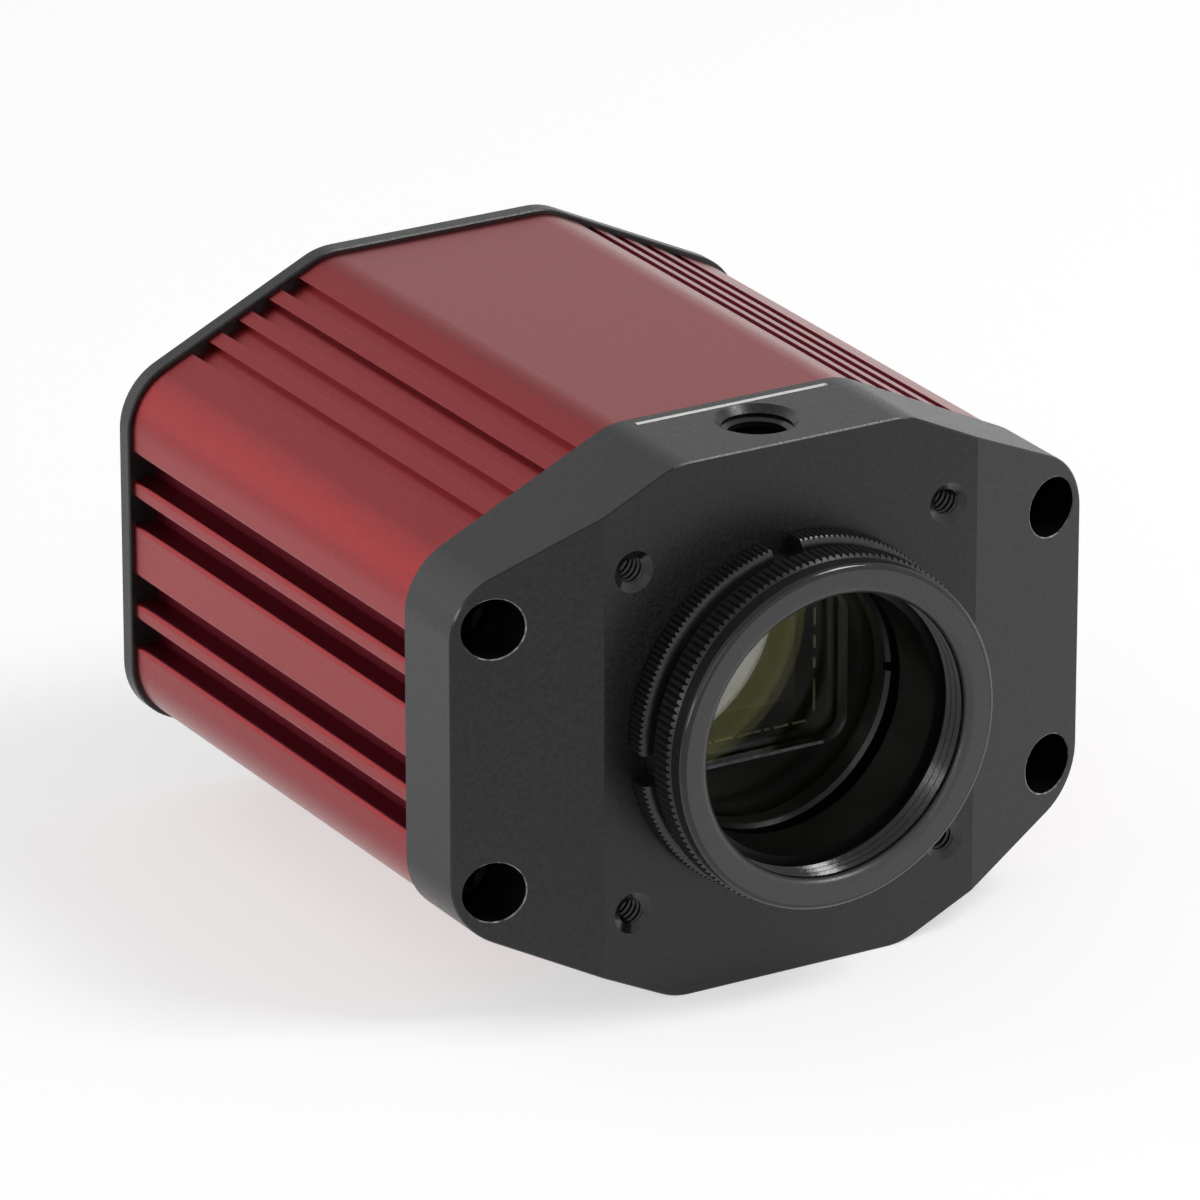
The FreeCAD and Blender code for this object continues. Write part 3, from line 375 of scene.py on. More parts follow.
# Front plate screws: four black steel cap screws with lobed sockets, sunk deep in the counterbores.
# They hold the plate to the housing; their heads are pressed and then blackened in oil.
CAP_FRONT = 7.6
CAP_TIP = 20.8
CAP_RADIUS = 2.25
SHANK_RADIUS = 1.25
SOCKET_RADIUS = 1.35
SOCKET_DEPTH = 1.1
LOBES = 6
LOBE_SWING = 0.14
SOCKET_LEAD = 0.1
HEAD_ROUND = ((0.2, 0.0), (0.06, 0.06), (0.0, 0.2))
TIP_LEAD = 0.4
RING_STEPS = 72


def lofted(rings):
    """Joins rings of (radius, station, lobes) along Y, round where lobes is 0, and closes both ends."""
    shape = bmesh.new()
    loops = []
    for radius, station, lobes in rings:
        circle = bmesh.ops.create_circle(shape, cap_ends=False, segments=RING_STEPS, radius=radius * MM)
        turn = Matrix.Translation((0, station * MM, 0)) @ Matrix.Rotation(math.radians(90), 4, "X")
        bmesh.ops.transform(shape, matrix=turn, verts=circle["verts"])
        if lobes:
            for vert in circle["verts"]:
                pull = 1 + LOBE_SWING * math.cos(lobes * math.atan2(vert.co.z, vert.co.x))
                vert.co.x *= pull
                vert.co.z *= pull
        loops.append(circle["verts"])
    for first, second in zip(loops, loops[1:]):
        rims = []
        for loop in (first, second):
            members = set(loop)
            rims += [edge for edge in shape.edges if set(edge.verts) <= members]
        bmesh.ops.bridge_loops(shape, edges=rims)
    for loop in (loops[0], loops[-1]):
        bmesh.ops.contextual_create(shape, geom=list(loop))
    bmesh.ops.recalc_face_normals(shape, faces=shape.faces)
    if shape.calc_volume(signed=True) < 0:
        bmesh.ops.reverse_faces(shape, faces=shape.faces)
    return shape


oxide_black = new_finish("oxide_black", (0.006, 0.006, 0.006), {"IOR": 1.5})
vary(oxide_black, grain(oxide_black, (0.1, 0.4, 0.1)), "Roughness", 0.26, 0.4)
tint(oxide_black, grain(oxide_black, (0.5, 0.5, 0.5), 4), (0.004, 0.004, 0.004), (0.009, 0.0085, 0.008))
relief(oxide_black, grain(oxide_black, (0.12, 0.12, 0.12)), 0.001)


def corners_of(shape_maker):
    """Sets a copy of a shape at each of the four plate screw places."""
    group = bmesh.new()
    for across in (SCREW_X, -SCREW_X):
        for up in (SCREW_Z, -SCREW_Z):
            added(group, shape_maker(), Matrix.Translation((across * MM, 0, up * MM)))
    return group


def cap_screw():
    """Makes one cap screw, its socket's floor first."""
    socket = [
        (SOCKET_RADIUS, CAP_FRONT + SOCKET_DEPTH, LOBES),
        (SOCKET_RADIUS, CAP_FRONT + SOCKET_LEAD, LOBES),
        (SOCKET_RADIUS + SOCKET_LEAD, CAP_FRONT, LOBES),
    ]
    head = [(CAP_RADIUS - inset, CAP_FRONT + back, 0) for inset, back in HEAD_ROUND]
    return lofted(socket + head + [
        (CAP_RADIUS, CAP_SEAT - SOCKET_LEAD, 0),
        (CAP_RADIUS - SOCKET_LEAD, CAP_SEAT, 0),
        (SHANK_RADIUS, CAP_SEAT, 0),
        (SHANK_RADIUS, CAP_TIP - TIP_LEAD, 0),
        (SHANK_RADIUS - TIP_LEAD, CAP_TIP, 0),
    ])


finished(corners_of(cap_screw), "plate_cap_screws", [oxide_black], CASE,
         "front_plate_screws")

# Window seal: a flat ring stamped from black rubber sheet.
# It lies between the window and its seat in the plate and keeps dust off the sensor.
SEAL_INNER = 11.9945
SEAL_OUTER = 12.9945
SEAL_FRONT = 6.5
SEAL_REAR = 6.8
SEAL_BULGE = 0.06
SEAL_STEPS = 96
seal_rubber = new_finish("seal_rubber", (0.014, 0.014, 0.014), {"IOR": 1.5})
vary(seal_rubber, grain(seal_rubber, (0.2, 0.2, 0.2)), "Roughness", 0.6, 0.8)
tint(seal_rubber, grain(seal_rubber, (0.6, 0.6, 0.6)), (0.011, 0.011, 0.011), (0.018, 0.018, 0.018))
seal = turned([
    (SEAL_INNER, SEAL_FRONT),
    (SEAL_OUTER, SEAL_FRONT),
    (SEAL_OUTER, SEAL_REAR),
    (SEAL_INNER, SEAL_REAR),
    (SEAL_INNER - SEAL_BULGE, (SEAL_FRONT + SEAL_REAR) / 2),
], SEAL_STEPS)
finished(seal, "window_flat_seal", [seal_rubber], CASE, "window_seal")

# Protective window: a polished glass disc with ground edges, in front of the sensor.
# Both faces are coated against reflections; the retaining ring presses it on the seal.
WINDOW_RADIUS = 12.9945
WINDOW_FRONT = 5.5
WINDOW_REAR = 6.5
EDGE_GRIND = 0.15
WINDOW_STEPS = 128
coated_glass = new_finish("coated_glass", (0.985, 0.985, 0.96), {
    "Roughness": 0.0, "IOR": 1.5, "Transmission Weight": 1.0, "Specular Tint": (0.42, 0.42, 0.09, 1)})
window = turned([
    (0.0, WINDOW_FRONT),
    (WINDOW_RADIUS - EDGE_GRIND, WINDOW_FRONT),
    (WINDOW_RADIUS, WINDOW_FRONT + EDGE_GRIND),
    (WINDOW_RADIUS, WINDOW_REAR - EDGE_GRIND),
    (WINDOW_RADIUS - EDGE_GRIND, WINDOW_REAR),
    (0.0, WINDOW_REAR),
], WINDOW_STEPS)
finished(window, "window_disc", [coated_glass], CASE, "protective_window")

# Window retaining ring: a thin threaded aluminium ring, turned and anodised black.
# It screws into the plate's bore over the window, with two notches for a spanner.
RING_INNER = 11.4445
RING_OUTER = 13.1445
RING_FRONT = 3.5
RING_REAR = 5.5
RING_SLOPE = 0.33
RING_LEAD = 0.25
NOTCH_WIDTH = 0.8
NOTCH_DEPTH = 0.7
NOTCH_REACH = 14.0
CLEAR = 1.0
turned_black = new_finish("turned_black", (0.013, 0.013, 0.014), {"IOR": 1.5})


def turning_marks(finish, spacing):
    """Adds a noise that runs in rings about the optical axis, as a lathe tool leaves it."""
    nodes = finish.node_tree.nodes
    links = finish.node_tree.links
    place = nodes.new("ShaderNodeTexCoord")
    parts = nodes.new("ShaderNodeSeparateXYZ")
    flat = nodes.new("ShaderNodeCombineXYZ")
    radius = nodes.new("ShaderNodeVectorMath")
    radius.operation = "LENGTH"
    rings = nodes.new("ShaderNodeCombineXYZ")
    noise = nodes.new("ShaderNodeTexNoise")
    noise.inputs["Scale"].default_value = 1 / (spacing * MM)
    noise.inputs["Detail"].default_value = 1.0
    links.new(place.outputs["Object"], parts.inputs["Vector"])
    links.new(parts.outputs["X"], flat.inputs["X"])
    links.new(parts.outputs["Z"], flat.inputs["Z"])
    links.new(flat.outputs["Vector"], radius.inputs[0])
    links.new(radius.outputs["Value"], rings.inputs["X"])
    links.new(parts.outputs["Y"], rings.inputs["Y"])
    links.new(rings.outputs["Vector"], noise.inputs["Vector"])
    return noise.outputs["Fac"]


tint(turned_black, grain(turned_black, (0.4, 0.4, 0.4), 4), (0.01, 0.01, 0.0108), (0.0155, 0.0155, 0.0165))
vary(turned_black, grain(turned_black, (0.15, 0.15, 0.15)), "Roughness", 0.26, 0.36)
relief(turned_black, turning_marks(turned_black, 0.12), 0.0014)


def bar(low, high):
    """Makes a square-edged bar between two corners, in millimetres."""
    shape = bmesh.new()
    middle = (Vector(low) + Vector(high)) / 2 * MM
    size = (Vector(high) - Vector(low)) * MM
    stretch = Matrix.Translation(middle) @ Matrix.Diagonal((*size, 1))
    bmesh.ops.create_cube(shape, size=1.0, matrix=stretch)
    return shape


ring = turned([
    (RING_INNER, RING_FRONT + RING_SLOPE),
    (RING_INNER + RING_SLOPE, RING_FRONT),
    (RING_OUTER - RING_LEAD, RING_FRONT),
    (RING_OUTER, RING_FRONT + RING_LEAD),
    (RING_OUTER, RING_REAR),
    (RING_INNER, RING_REAR),
], WINDOW_STEPS)
notches = bar((-NOTCH_REACH, RING_FRONT - CLEAR, -NOTCH_WIDTH / 2),
              (NOTCH_REACH, RING_FRONT + NOTCH_DEPTH, NOTCH_WIDTH / 2))
ring = carved(ring, notches)
# The retaining ring takes the painted shade colour, all but its inner slope, which keeps the turned finish.
for face in ring.faces:
    within = face.calc_center_median().xz.length < (RING_INNER + RING_SLOPE) * MM
    face.material_index = 1 if within and 0.5 < -face.normal.y < 0.9 else 0
finished(ring, "window_clamp_ring", [painted_shade_black, turned_black], CASE,
         "window_retaining_ring")

# Image sensor: a silicon die bonded in a dark ceramic package, with gold pads round it.
# A clear lid closes the package; the die's face lies at the lens mount's focal distance.
DIE_WIDTH = 15.6
DIE_HEIGHT = 11.6
PACKAGE_WIDTH = 21.4
PACKAGE_HEIGHT = 17.4
CAVITY_WIDTH = 18.0
CAVITY_HEIGHT = 14.0
PACKAGE_FRONT = 8.826
PACKAGE_REAR = 11.3
DIE_FACE = 10.026
DIE_FLOOR = 10.426
LID_FRONT = 8.326
LID_WIDTH = 19.8
LID_HEIGHT = 15.8
ACTIVE_WIDTH = 12.06
ACTIVE_HEIGHT = 7.4
DIE_BREAK = 0.03
PACKAGE_BREAK = 0.06
LID_BREAK = 0.08
PAD_WIDTH = 0.18
PAD_DROP = 0.05
PADS_ALONG = ((-7.3, 2.2), (-4.8, 1.9), (-2.5, 0.5), (-1.6, 1.7), (0.5, 2.3), (3.2, 0.5), (4.1, 1.4),
              (5.9, 1.3))
PADS_UP = ((-5.2, 2.8), (-1.4, 0.9), (0.4, 1.1), (2.4, 1.6), (4.5, 0.8))
silicon = new_finish("silicon", (0.002, 0.0022, 0.002), {"IOR": 1.15, "Roughness": 0.5})
tint(silicon, grain(silicon, (0.5, 0.5, 0.5)), (0.0016, 0.0018, 0.0016), (0.0025, 0.0027, 0.0025))
pixels = new_finish("pixels", (0.06, 0.042, 0.037), {"IOR": 1.15, "Roughness": 0.5})
tint(pixels, grain(pixels, (1.5, 1.5, 1.5)), (0.057, 0.04, 0.035), (0.063, 0.044, 0.039))
bond_gold = new_finish("bond_gold", (0.75, 0.68, 0.42), {"Metallic": 0.2, "IOR": 1.5})
tint(bond_gold, grain(bond_gold, (0.3, 0.3, 0.3)), (0.68, 0.6, 0.34), (0.82, 0.76, 0.5))
vary(bond_gold, grain(bond_gold, (0.2, 0.2, 0.2)), "Roughness", 0.4, 0.55)
ceramic = new_finish("ceramic", (0.006, 0.0055, 0.005), {"IOR": 1.4})
vary(ceramic, grain(ceramic, (0.1, 0.1, 0.1)), "Roughness", 0.4, 0.6)
tint(ceramic, grain(ceramic, (0.3, 0.3, 0.3), 4), (0.0045, 0.004, 0.0035), (0.008, 0.0075, 0.0065))
gold = new_finish("gold", (0.82, 0.68, 0.36), {"Metallic": 1.0})
vary(gold, grain(gold, (0.1, 0.1, 0.1)), "Roughness", 0.22, 0.36)
tint(gold, grain(gold, (0.3, 0.3, 0.3)), (0.76, 0.6, 0.28), (0.88, 0.76, 0.44))
clear_glass = new_finish("clear_glass", (0.98, 0.98, 0.97), {
    "Roughness": 0.0, "IOR": 1.95, "Transmission Weight": 1.0})


def softened(shape, width, segments=2):
    """Rounds every sharp edge of a mesh by a width in millimetres."""
    fold = math.radians(SHARP)
    sharp = [edge for edge in shape.edges if edge.is_manifold and edge.calc_face_angle() > fold]
    bmesh.ops.bevel(shape, geom=sharp, offset=width * MM, offset_type="OFFSET", segments=segments,
                    profile=0.5, affect="EDGES", material=-1, clamp_overlap=True)
    return shape


die = bar((-DIE_WIDTH / 2, DIE_FACE, -DIE_HEIGHT / 2), (DIE_WIDTH / 2, DIE_FLOOR, DIE_HEIGHT / 2))
die = softened(die, DIE_BREAK)
for reach, across in ((ACTIVE_WIDTH / 2, (1, 0, 0)), (ACTIVE_HEIGHT / 2, (0, 0, 1))):
    for side in (reach, -reach):
        everything = die.verts[:] + die.edges[:] + die.faces[:]
        bmesh.ops.bisect_plane(die, geom=everything, plane_co=Vector(across) * side * MM, plane_no=across)
for face in die.faces:
    middle = face.calc_center_median() / MM
    within = abs(middle.x) < ACTIVE_WIDTH / 2 and abs(middle.z) < ACTIVE_HEIGHT / 2
    face.material_index = 1 if within and face.normal.y < -0.9 else 0
finished(die, "sensor_chip", [silicon, pixels], CASE, "sensor_die")
package = bar((-PACKAGE_WIDTH / 2, PACKAGE_FRONT, -PACKAGE_HEIGHT / 2),
              (PACKAGE_WIDTH / 2, PACKAGE_REAR, PACKAGE_HEIGHT / 2))
cavity = bar((-CAVITY_WIDTH / 2, PACKAGE_FRONT - CLEAR, -CAVITY_HEIGHT / 2),
             (CAVITY_WIDTH / 2, DIE_FLOOR, CAVITY_HEIGHT / 2))
package = softened(carved(package, cavity), PACKAGE_BREAK, 1)
for along_x, pads, off in ((True, PADS_ALONG, DIE_HEIGHT / 2), (False, PADS_UP, DIE_WIDTH / 2)):
    for side in (off + PAD_WIDTH, -off - PAD_WIDTH):
        for start, length in pads:
            low, high = (start, side - PAD_WIDTH / 2), (start + length, side + PAD_WIDTH / 2)
            if not along_x:
                low, high = low[::-1], high[::-1]
            pad = bar((low[0], DIE_FACE + PAD_DROP, low[1]), (high[0], DIE_FLOOR, high[1]))
            for face in pad.faces:
                face.material_index = 1
            added(package, pad, Matrix())
finished(package, "sensor_carrier", [ceramic, bond_gold], CASE, "sensor_package")
lid = bar((-LID_WIDTH / 2, LID_FRONT, -LID_HEIGHT / 2), (LID_WIDTH / 2, PACKAGE_FRONT, LID_HEIGHT / 2))
lid = softened(lid, LID_BREAK, 1)
finished(lid, "sensor_cover_glass", [clear_glass], CASE, "sensor_lid")

# Gap pad and board stack: a soft grey frame behind the plate, then four green circuit boards.
# Hexagonal spacers, black links and small screws join them; all of it is shut in the housing.
gap_rubber = new_finish("gap_rubber", (0.3, 0.33, 0.37), {"IOR": 1.45})
vary(gap_rubber, grain(gap_rubber, (0.3, 0.3, 0.3)), "Roughness", 0.7, 0.9)
tint(gap_rubber, grain(gap_rubber, (0.8, 0.8, 0.8), 4), (0.27, 0.3, 0.34), (0.34, 0.37, 0.41))
solder_mask = new_finish("solder_mask", (0.015, 0.09, 0.035), {"IOR": 1.5})
vary(solder_mask, grain(solder_mask, (1.0, 1.0, 1.0)), "Roughness", 0.25, 0.4)
tint(solder_mask, grain(solder_mask, (1.6, 6, 0.5), 3), (0.011, 0.07, 0.026), (0.02, 0.12, 0.045))
spacer_metal = new_finish("spacer_metal", (0.66, 0.63, 0.57), {"Metallic": 1.0})
vary(spacer_metal, grain(spacer_metal, (0.1, 1.0, 0.1)), "Roughness", 0.25, 0.4)
tint(spacer_metal, grain(spacer_metal, (0.5, 0.5, 0.5)), (0.6, 0.57, 0.52), (0.7, 0.68, 0.62))
moulded_black = new_finish("moulded_black", (0.016, 0.016, 0.016), {"IOR": 1.5})
vary(moulded_black, grain(moulded_black, (0.12, 0.12, 0.12)), "Roughness", 0.45, 0.62)
tint(moulded_black, grain(moulded_black, (0.5, 0.5, 0.5), 4), (0.012, 0.012, 0.012), (0.021, 0.021, 0.021))
relief(moulded_black, grain(moulded_black, (0.1, 0.1, 0.1)), 0.002)
bright_steel = new_finish("bright_steel", (0.58, 0.58, 0.57), {"Metallic": 1.0})
vary(bright_steel, grain(bright_steel, (0.06, 1.2, 0.06)), "Roughness", 0.22, 0.36)
tint(bright_steel, grain(bright_steel, (0.5, 2.0, 0.5)), (0.52, 0.52, 0.51), (0.64, 0.64, 0.63))
inside = {
    "gap_pad": gap_rubber,
    "sensor_board": solder_mask,
    "processing_board": solder_mask,
    "power_board": solder_mask,
    "interface_board": solder_mask,
    "board_spacers": spacer_metal,
    "board_links": moulded_black,
    "board_screws": bright_steel,
    "image_processor": moulded_black,
    "memory_chips": moulded_black,
}
for node, finish in inside.items():
    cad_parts[node].data.materials.clear()
    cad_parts[node].data.materials.append(finish)

# Housing: an extruded aluminium tube, fine blasted and anodised red.
# Deep grooves leave cooling fins on its sides, and shallow ones ribs on its four shoulders.
RIB_BREAK = 0.04
GROOVED_SIDE = 29.2
SHOULDER_X = 14.0
GROOVES_UP = 9.0
HOUSING_CREASE = 20
anodised_red = new_finish("anodised_red", (0.297, 0.0115, 0.0155), {
    "Metallic": 1.0, "Coat Weight": 0.38, "Coat Roughness": 0.26, "Coat IOR": 1.5})
tint(anodised_red, grain(anodised_red, (0.25, 0.6, 0.25), 4),
     (0.268, 0.01, 0.0135), (0.326, 0.013, 0.0175))
vary(anodised_red, grain(anodised_red, (0.14, 0.14, 0.14)), "Roughness", 0.28, 0.4)
relief(anodised_red, grain(anodised_red, (0.16, 0.16, 0.16)), 0.005)
# Painted shade: a darker, duller red for the walls and floors of the grooves, for the shade that falls in
# them.
groove_painted_shade_red = new_finish("groove_painted_shade_red", (0.21, 0.02, 0.038), {"Metallic": 1.0})
tint(groove_painted_shade_red, grain(groove_painted_shade_red, (0.25, 0.6, 0.25), 4), (0.19, 0.018, 0.034), (0.23, 0.022, 0.042))
vary(groove_painted_shade_red, grain(groove_painted_shade_red, (0.14, 0.14, 0.14)), "Roughness", 0.46, 0.58)
tube = merged("housing")
housing_low, housing_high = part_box("housing")
ribs = []
for edge in tube.edges:
    lies = edge.verts[0].co - edge.verts[1].co
    whole = abs(lies.y) > 0.95 * (housing_high.y - housing_low.y)
    if whole and edge.is_manifold and edge.calc_face_angle_signed() > math.radians(60):
        ribs.append(edge)
bmesh.ops.bevel(tube, geom=ribs, offset=RIB_BREAK * MM, offset_type="OFFSET", segments=2, profile=0.5,
                affect="EDGES", material=-1, clamp_overlap=True)
# Faces inside the shoulder grooves and the deep side grooves take the painted shade red.
for face in tube.faces:
    middle = face.calc_center_median() / MM
    outside = abs(middle.x) > SHOULDER_X and abs(face.normal.y) < 0.1
    inwards = face.normal.x * middle.x + face.normal.z * middle.z < 0.25 * middle.xz.length
    in_side = abs(middle.x) < GROOVED_SIDE and abs(face.normal.x) > 0.99 and abs(middle.z) < GROOVES_UP
    face.material_index = 1 if outside and (inwards or in_side) else 0
finished(tube, "finned_housing", [anodised_red, groove_painted_shade_red], CASE, "housing", HOUSING_CREASE)

# Lens adapter: a turned aluminium flange and threaded barrel, anodised black, with a knurled grip.
# A lens screws into its mouth; its barrel screws into the plate, which sets the focus.
ADAPTER = "lens_adapter"
FLANGE_FRONT = -7.5
FLANGE_REAR = -3.33
FACE_RADIUS = 14.98
FACE_ROUND = 0.5
GRIP_TIP = 15.24
GRIP_ROOT = 15.0
GRIP_START = -5.85
GRIP_LEAD = 0.34
GRIP_DEPTH = 0.3
GRIP_BREAK = 0.2
ADAPTER_TEETH = 150
TURNED_STEPS = 180
TURNED_CREASE = 32
KNURL_SHIFT = 0.31
KNURL_SLIM = 0.8
LIP_ROUND = 0.8
LIP_STEPS = 6
FACE_STEPS = 5
MOUTH_MINOR = 12.3
MOUTH_MAJOR = 12.68
MOUTH_PITCH = 0.794
MOUTH_LEAD = 0.05
RELIEF_RADIUS = 12.7
THREAD_END = -4.1
RELIEF_END = -3.5
BARREL_MAJOR = 13.1445
BARREL_MINOR = 12.85
BARREL_PITCH = 0.635
BARREL_BORE = 11.6445
BARREL_END = 2.0
BARREL_LEAD = 0.12


def knurled(shape, teeth, root, depth, front, rear):
    """Cuts straight gullets with sloping flanks into a turned band, none of them on an edge of its mesh."""
    gullets = bmesh.new()
    for tooth in range(teeth):
        gullet = bar((-depth, front, -depth), (depth, rear, depth))
        slim = Matrix.Diagonal((1, 1, KNURL_SLIM, 1)) @ Matrix.Rotation(math.radians(45), 4, "Y")
        outwards = Matrix.Translation(((root + depth * math.sqrt(2)) * MM, 0, 0))
        turn = Matrix.Rotation(2 * math.pi * (tooth + KNURL_SHIFT) / teeth, 4, "Y")
        added(gullets, gullet, turn @ outwards @ slim)
    return carved(shape, gullets)


lip = []
for step in range(LIP_STEPS + 1):
    angle = math.radians(90 * step / LIP_STEPS)
    lip.append((MOUTH_MINOR + LIP_ROUND * (1 - math.sin(angle)),
                FLANGE_FRONT + LIP_ROUND * (1 - math.cos(angle))))
edge_round = []
for step in range(FACE_STEPS + 1):
    angle = math.radians(90 * step / FACE_STEPS)
    edge_round.append((FACE_RADIUS - FACE_ROUND * (1 - math.cos(angle)),
                       FLANGE_FRONT + FACE_ROUND * (1 - math.sin(angle))))
mouth_start = FLANGE_FRONT + LIP_ROUND + MOUTH_LEAD
mouth_thread = thread_line(MOUTH_MINOR, MOUTH_MAJOR, mouth_start, THREAD_END, MOUTH_PITCH)
barrel_thread = thread_line(BARREL_MAJOR, BARREL_MINOR, FLANGE_REAR + GRIP_BREAK, BARREL_END - GRIP_BREAK,
                            BARREL_PITCH)
adapter_line = lip + mouth_thread + [
    (MOUTH_MINOR, THREAD_END),
    (RELIEF_RADIUS, THREAD_END),
    (RELIEF_RADIUS, RELIEF_END),
    (BARREL_BORE, RELIEF_END),
    (BARREL_BORE, BARREL_END - BARREL_LEAD),
    (BARREL_BORE + BARREL_LEAD, BARREL_END),
    (BARREL_MINOR, BARREL_END),
] + barrel_thread[::-1] + [
    (BARREL_MAJOR, FLANGE_REAR),
    (GRIP_TIP - GRIP_BREAK, FLANGE_REAR),
    (GRIP_TIP, FLANGE_REAR - GRIP_BREAK),
    (GRIP_TIP, GRIP_START + GRIP_LEAD),
    (FACE_RADIUS, GRIP_START),
] + edge_round
adapter = turned(adapter_line, TURNED_STEPS)
adapter = knurled(adapter, ADAPTER_TEETH, GRIP_ROOT, GRIP_DEPTH, GRIP_START - GRIP_BREAK,
                  FLANGE_REAR + GRIP_BREAK)
satin_black = new_finish("satin_black", (0.05, 0.05, 0.052), {"IOR": 1.58})
tint(satin_black, grain(satin_black, (0.3, 0.3, 0.3), 5), (0.042, 0.042, 0.044), (0.058, 0.058, 0.061))
vary(satin_black, grain(satin_black, (0.2, 0.2, 0.2)), "Roughness", 0.26, 0.42)
relief(satin_black, grain(satin_black, (0.16, 0.16, 0.16)), 0.004)
for face in adapter.faces:
    middle = face.calc_center_median() / MM
    radius = math.hypot(middle.x, middle.z)
    if radius > FACE_RADIUS - FACE_ROUND and FLANGE_FRONT + NEAR < middle.y < FLANGE_FRONT + FACE_ROUND:
        face.material_index = 3
    elif middle.y < FLANGE_FRONT + FACE_ROUND:
        face.material_index = 1
    # The adapter's bore behind its mouth thread takes the painted shade colour.
    elif radius < BARREL_MINOR and middle.y > THREAD_END:
        face.material_index = 2
    elif radius < BARREL_MINOR:
        face.material_index = 3
    else:
        face.material_index = 0
finished(adapter, "lens_mount_adapter", [turned_black, satin_black, painted_shade_black, machined_black], ADAPTER,
         "lens_adapter", TURNED_CREASE)

# Lock ring: a knurled aluminium ring on the adapter's barrel, anodised black.
# It jams against the plate to hold the focus, and four slots take a spanner.
LOCK_FRONT = -2.13
LOCK_REAR = -0.03
LOCK_TIP = 15.55
LOCK_ROOT = 15.34
LOCK_LAND = 14.92
LOCK_BORE = 13.1945
LOCK_TEETH = 194
LOCK_DEPTH = 0.24
LOCK_BREAK = 0.2
LOCK_EDGE = ((0.12, 0.26), (0.0, 0.4))
LOCK_OVERRUN = 0.5
SLOT_FLOOR = 13.95
SLOT_WIDTH = 2.75
SLOT_TURN = 6.6
SLOTS = 4
lock_line = [
    (LOCK_BORE, LOCK_FRONT + LOCK_BREAK),
    (LOCK_BORE + LOCK_BREAK, LOCK_FRONT),
    (LOCK_LAND, LOCK_FRONT),
] + [(LOCK_TIP - inset, LOCK_FRONT + back) for inset, back in LOCK_EDGE] + [
    (LOCK_TIP, LOCK_REAR - LOCK_BREAK),
    (LOCK_TIP - LOCK_BREAK, LOCK_REAR),
    (LOCK_BORE + LOCK_BREAK, LOCK_REAR),
    (LOCK_BORE, LOCK_REAR - LOCK_BREAK),
]
lock = turned(lock_line, TURNED_STEPS)
lock = knurled(lock, LOCK_TEETH, LOCK_ROOT, LOCK_DEPTH, LOCK_FRONT - LOCK_OVERRUN, LOCK_REAR + LOCK_OVERRUN)
slots = bmesh.new()
for slot in range(SLOTS):
    turn = Matrix.Rotation(math.radians(-SLOT_TURN - 360 / SLOTS * slot), 4, "Y")
    gap = bar((SLOT_FLOOR, LOCK_FRONT - CLEAR, -SLOT_WIDTH / 2),
              (LOCK_TIP + CLEAR, LOCK_REAR + CLEAR, SLOT_WIDTH / 2))
    added(slots, gap, turn)
lock = carved(lock, slots)
rim_black = new_finish("rim_black", (0.03, 0.03, 0.031), {"IOR": 1.5})
tint(rim_black, grain(rim_black, (0.3, 0.3, 0.3), 5), (0.025, 0.025, 0.026), (0.035, 0.035, 0.036))
vary(rim_black, grain(rim_black, (0.2, 0.2, 0.2)), "Roughness", 0.24, 0.36)
for face in lock.faces:
    beyond = face.calc_center_median().xz.length > LOCK_LAND * MM
    face.material_index = 1 if beyond and 0.75 < -face.normal.y < 0.99 else 0
finished(lock, "knurled_lock_ring", [turned_black, rim_black], "lock_ring", "lock_ring",
         TURNED_CREASE)

# Rear plate: a thin milled aluminium lid with the front plate's outline, blasted and anodised black.
# It is cut out for the two connectors, their nuts and the status lamp.
finished(merged("rear_plate"), "camera_rear_plate", [blasted_black], CASE, "rear_plate",
         PLATE_CREASE)

# Rear plate screws: four black steel button screws with lobed sockets, on the rear plate's face.
# They run through the plate into taps in the housing.
REAR_FACE = 60.0
BUTTON_TOP = 61.4
BUTTON_RADIUS = 2.35
BUTTON_DOME = ((0.0, 1.05), (0.12, 0.7), (0.45, 0.35), (0.72, 0.07))
BUTTON_SOCKET = 1.0
REAR_TIP = 51.0


def button_screw():
    """Makes one button screw, its tip first."""
    shank = [
        (SHANK_RADIUS - TIP_LEAD, REAR_TIP, 0),
        (SHANK_RADIUS, REAR_TIP + TIP_LEAD, 0),
        (SHANK_RADIUS, REAR_FACE, 0),
        (BUTTON_RADIUS, REAR_FACE, 0),
    ]
    dome = [(BUTTON_RADIUS - inset, BUTTON_TOP - drop, 0) for inset, drop in BUTTON_DOME]
    return lofted(shank + dome + [
        (SOCKET_RADIUS + SOCKET_LEAD, BUTTON_TOP, LOBES),
        (SOCKET_RADIUS, BUTTON_TOP - SOCKET_LEAD, LOBES),
        (SOCKET_RADIUS, BUTTON_TOP - BUTTON_SOCKET, LOBES),
    ])


finished(corners_of(button_screw), "rear_button_screws", [oxide_black], CASE,
         "rear_plate_screws")

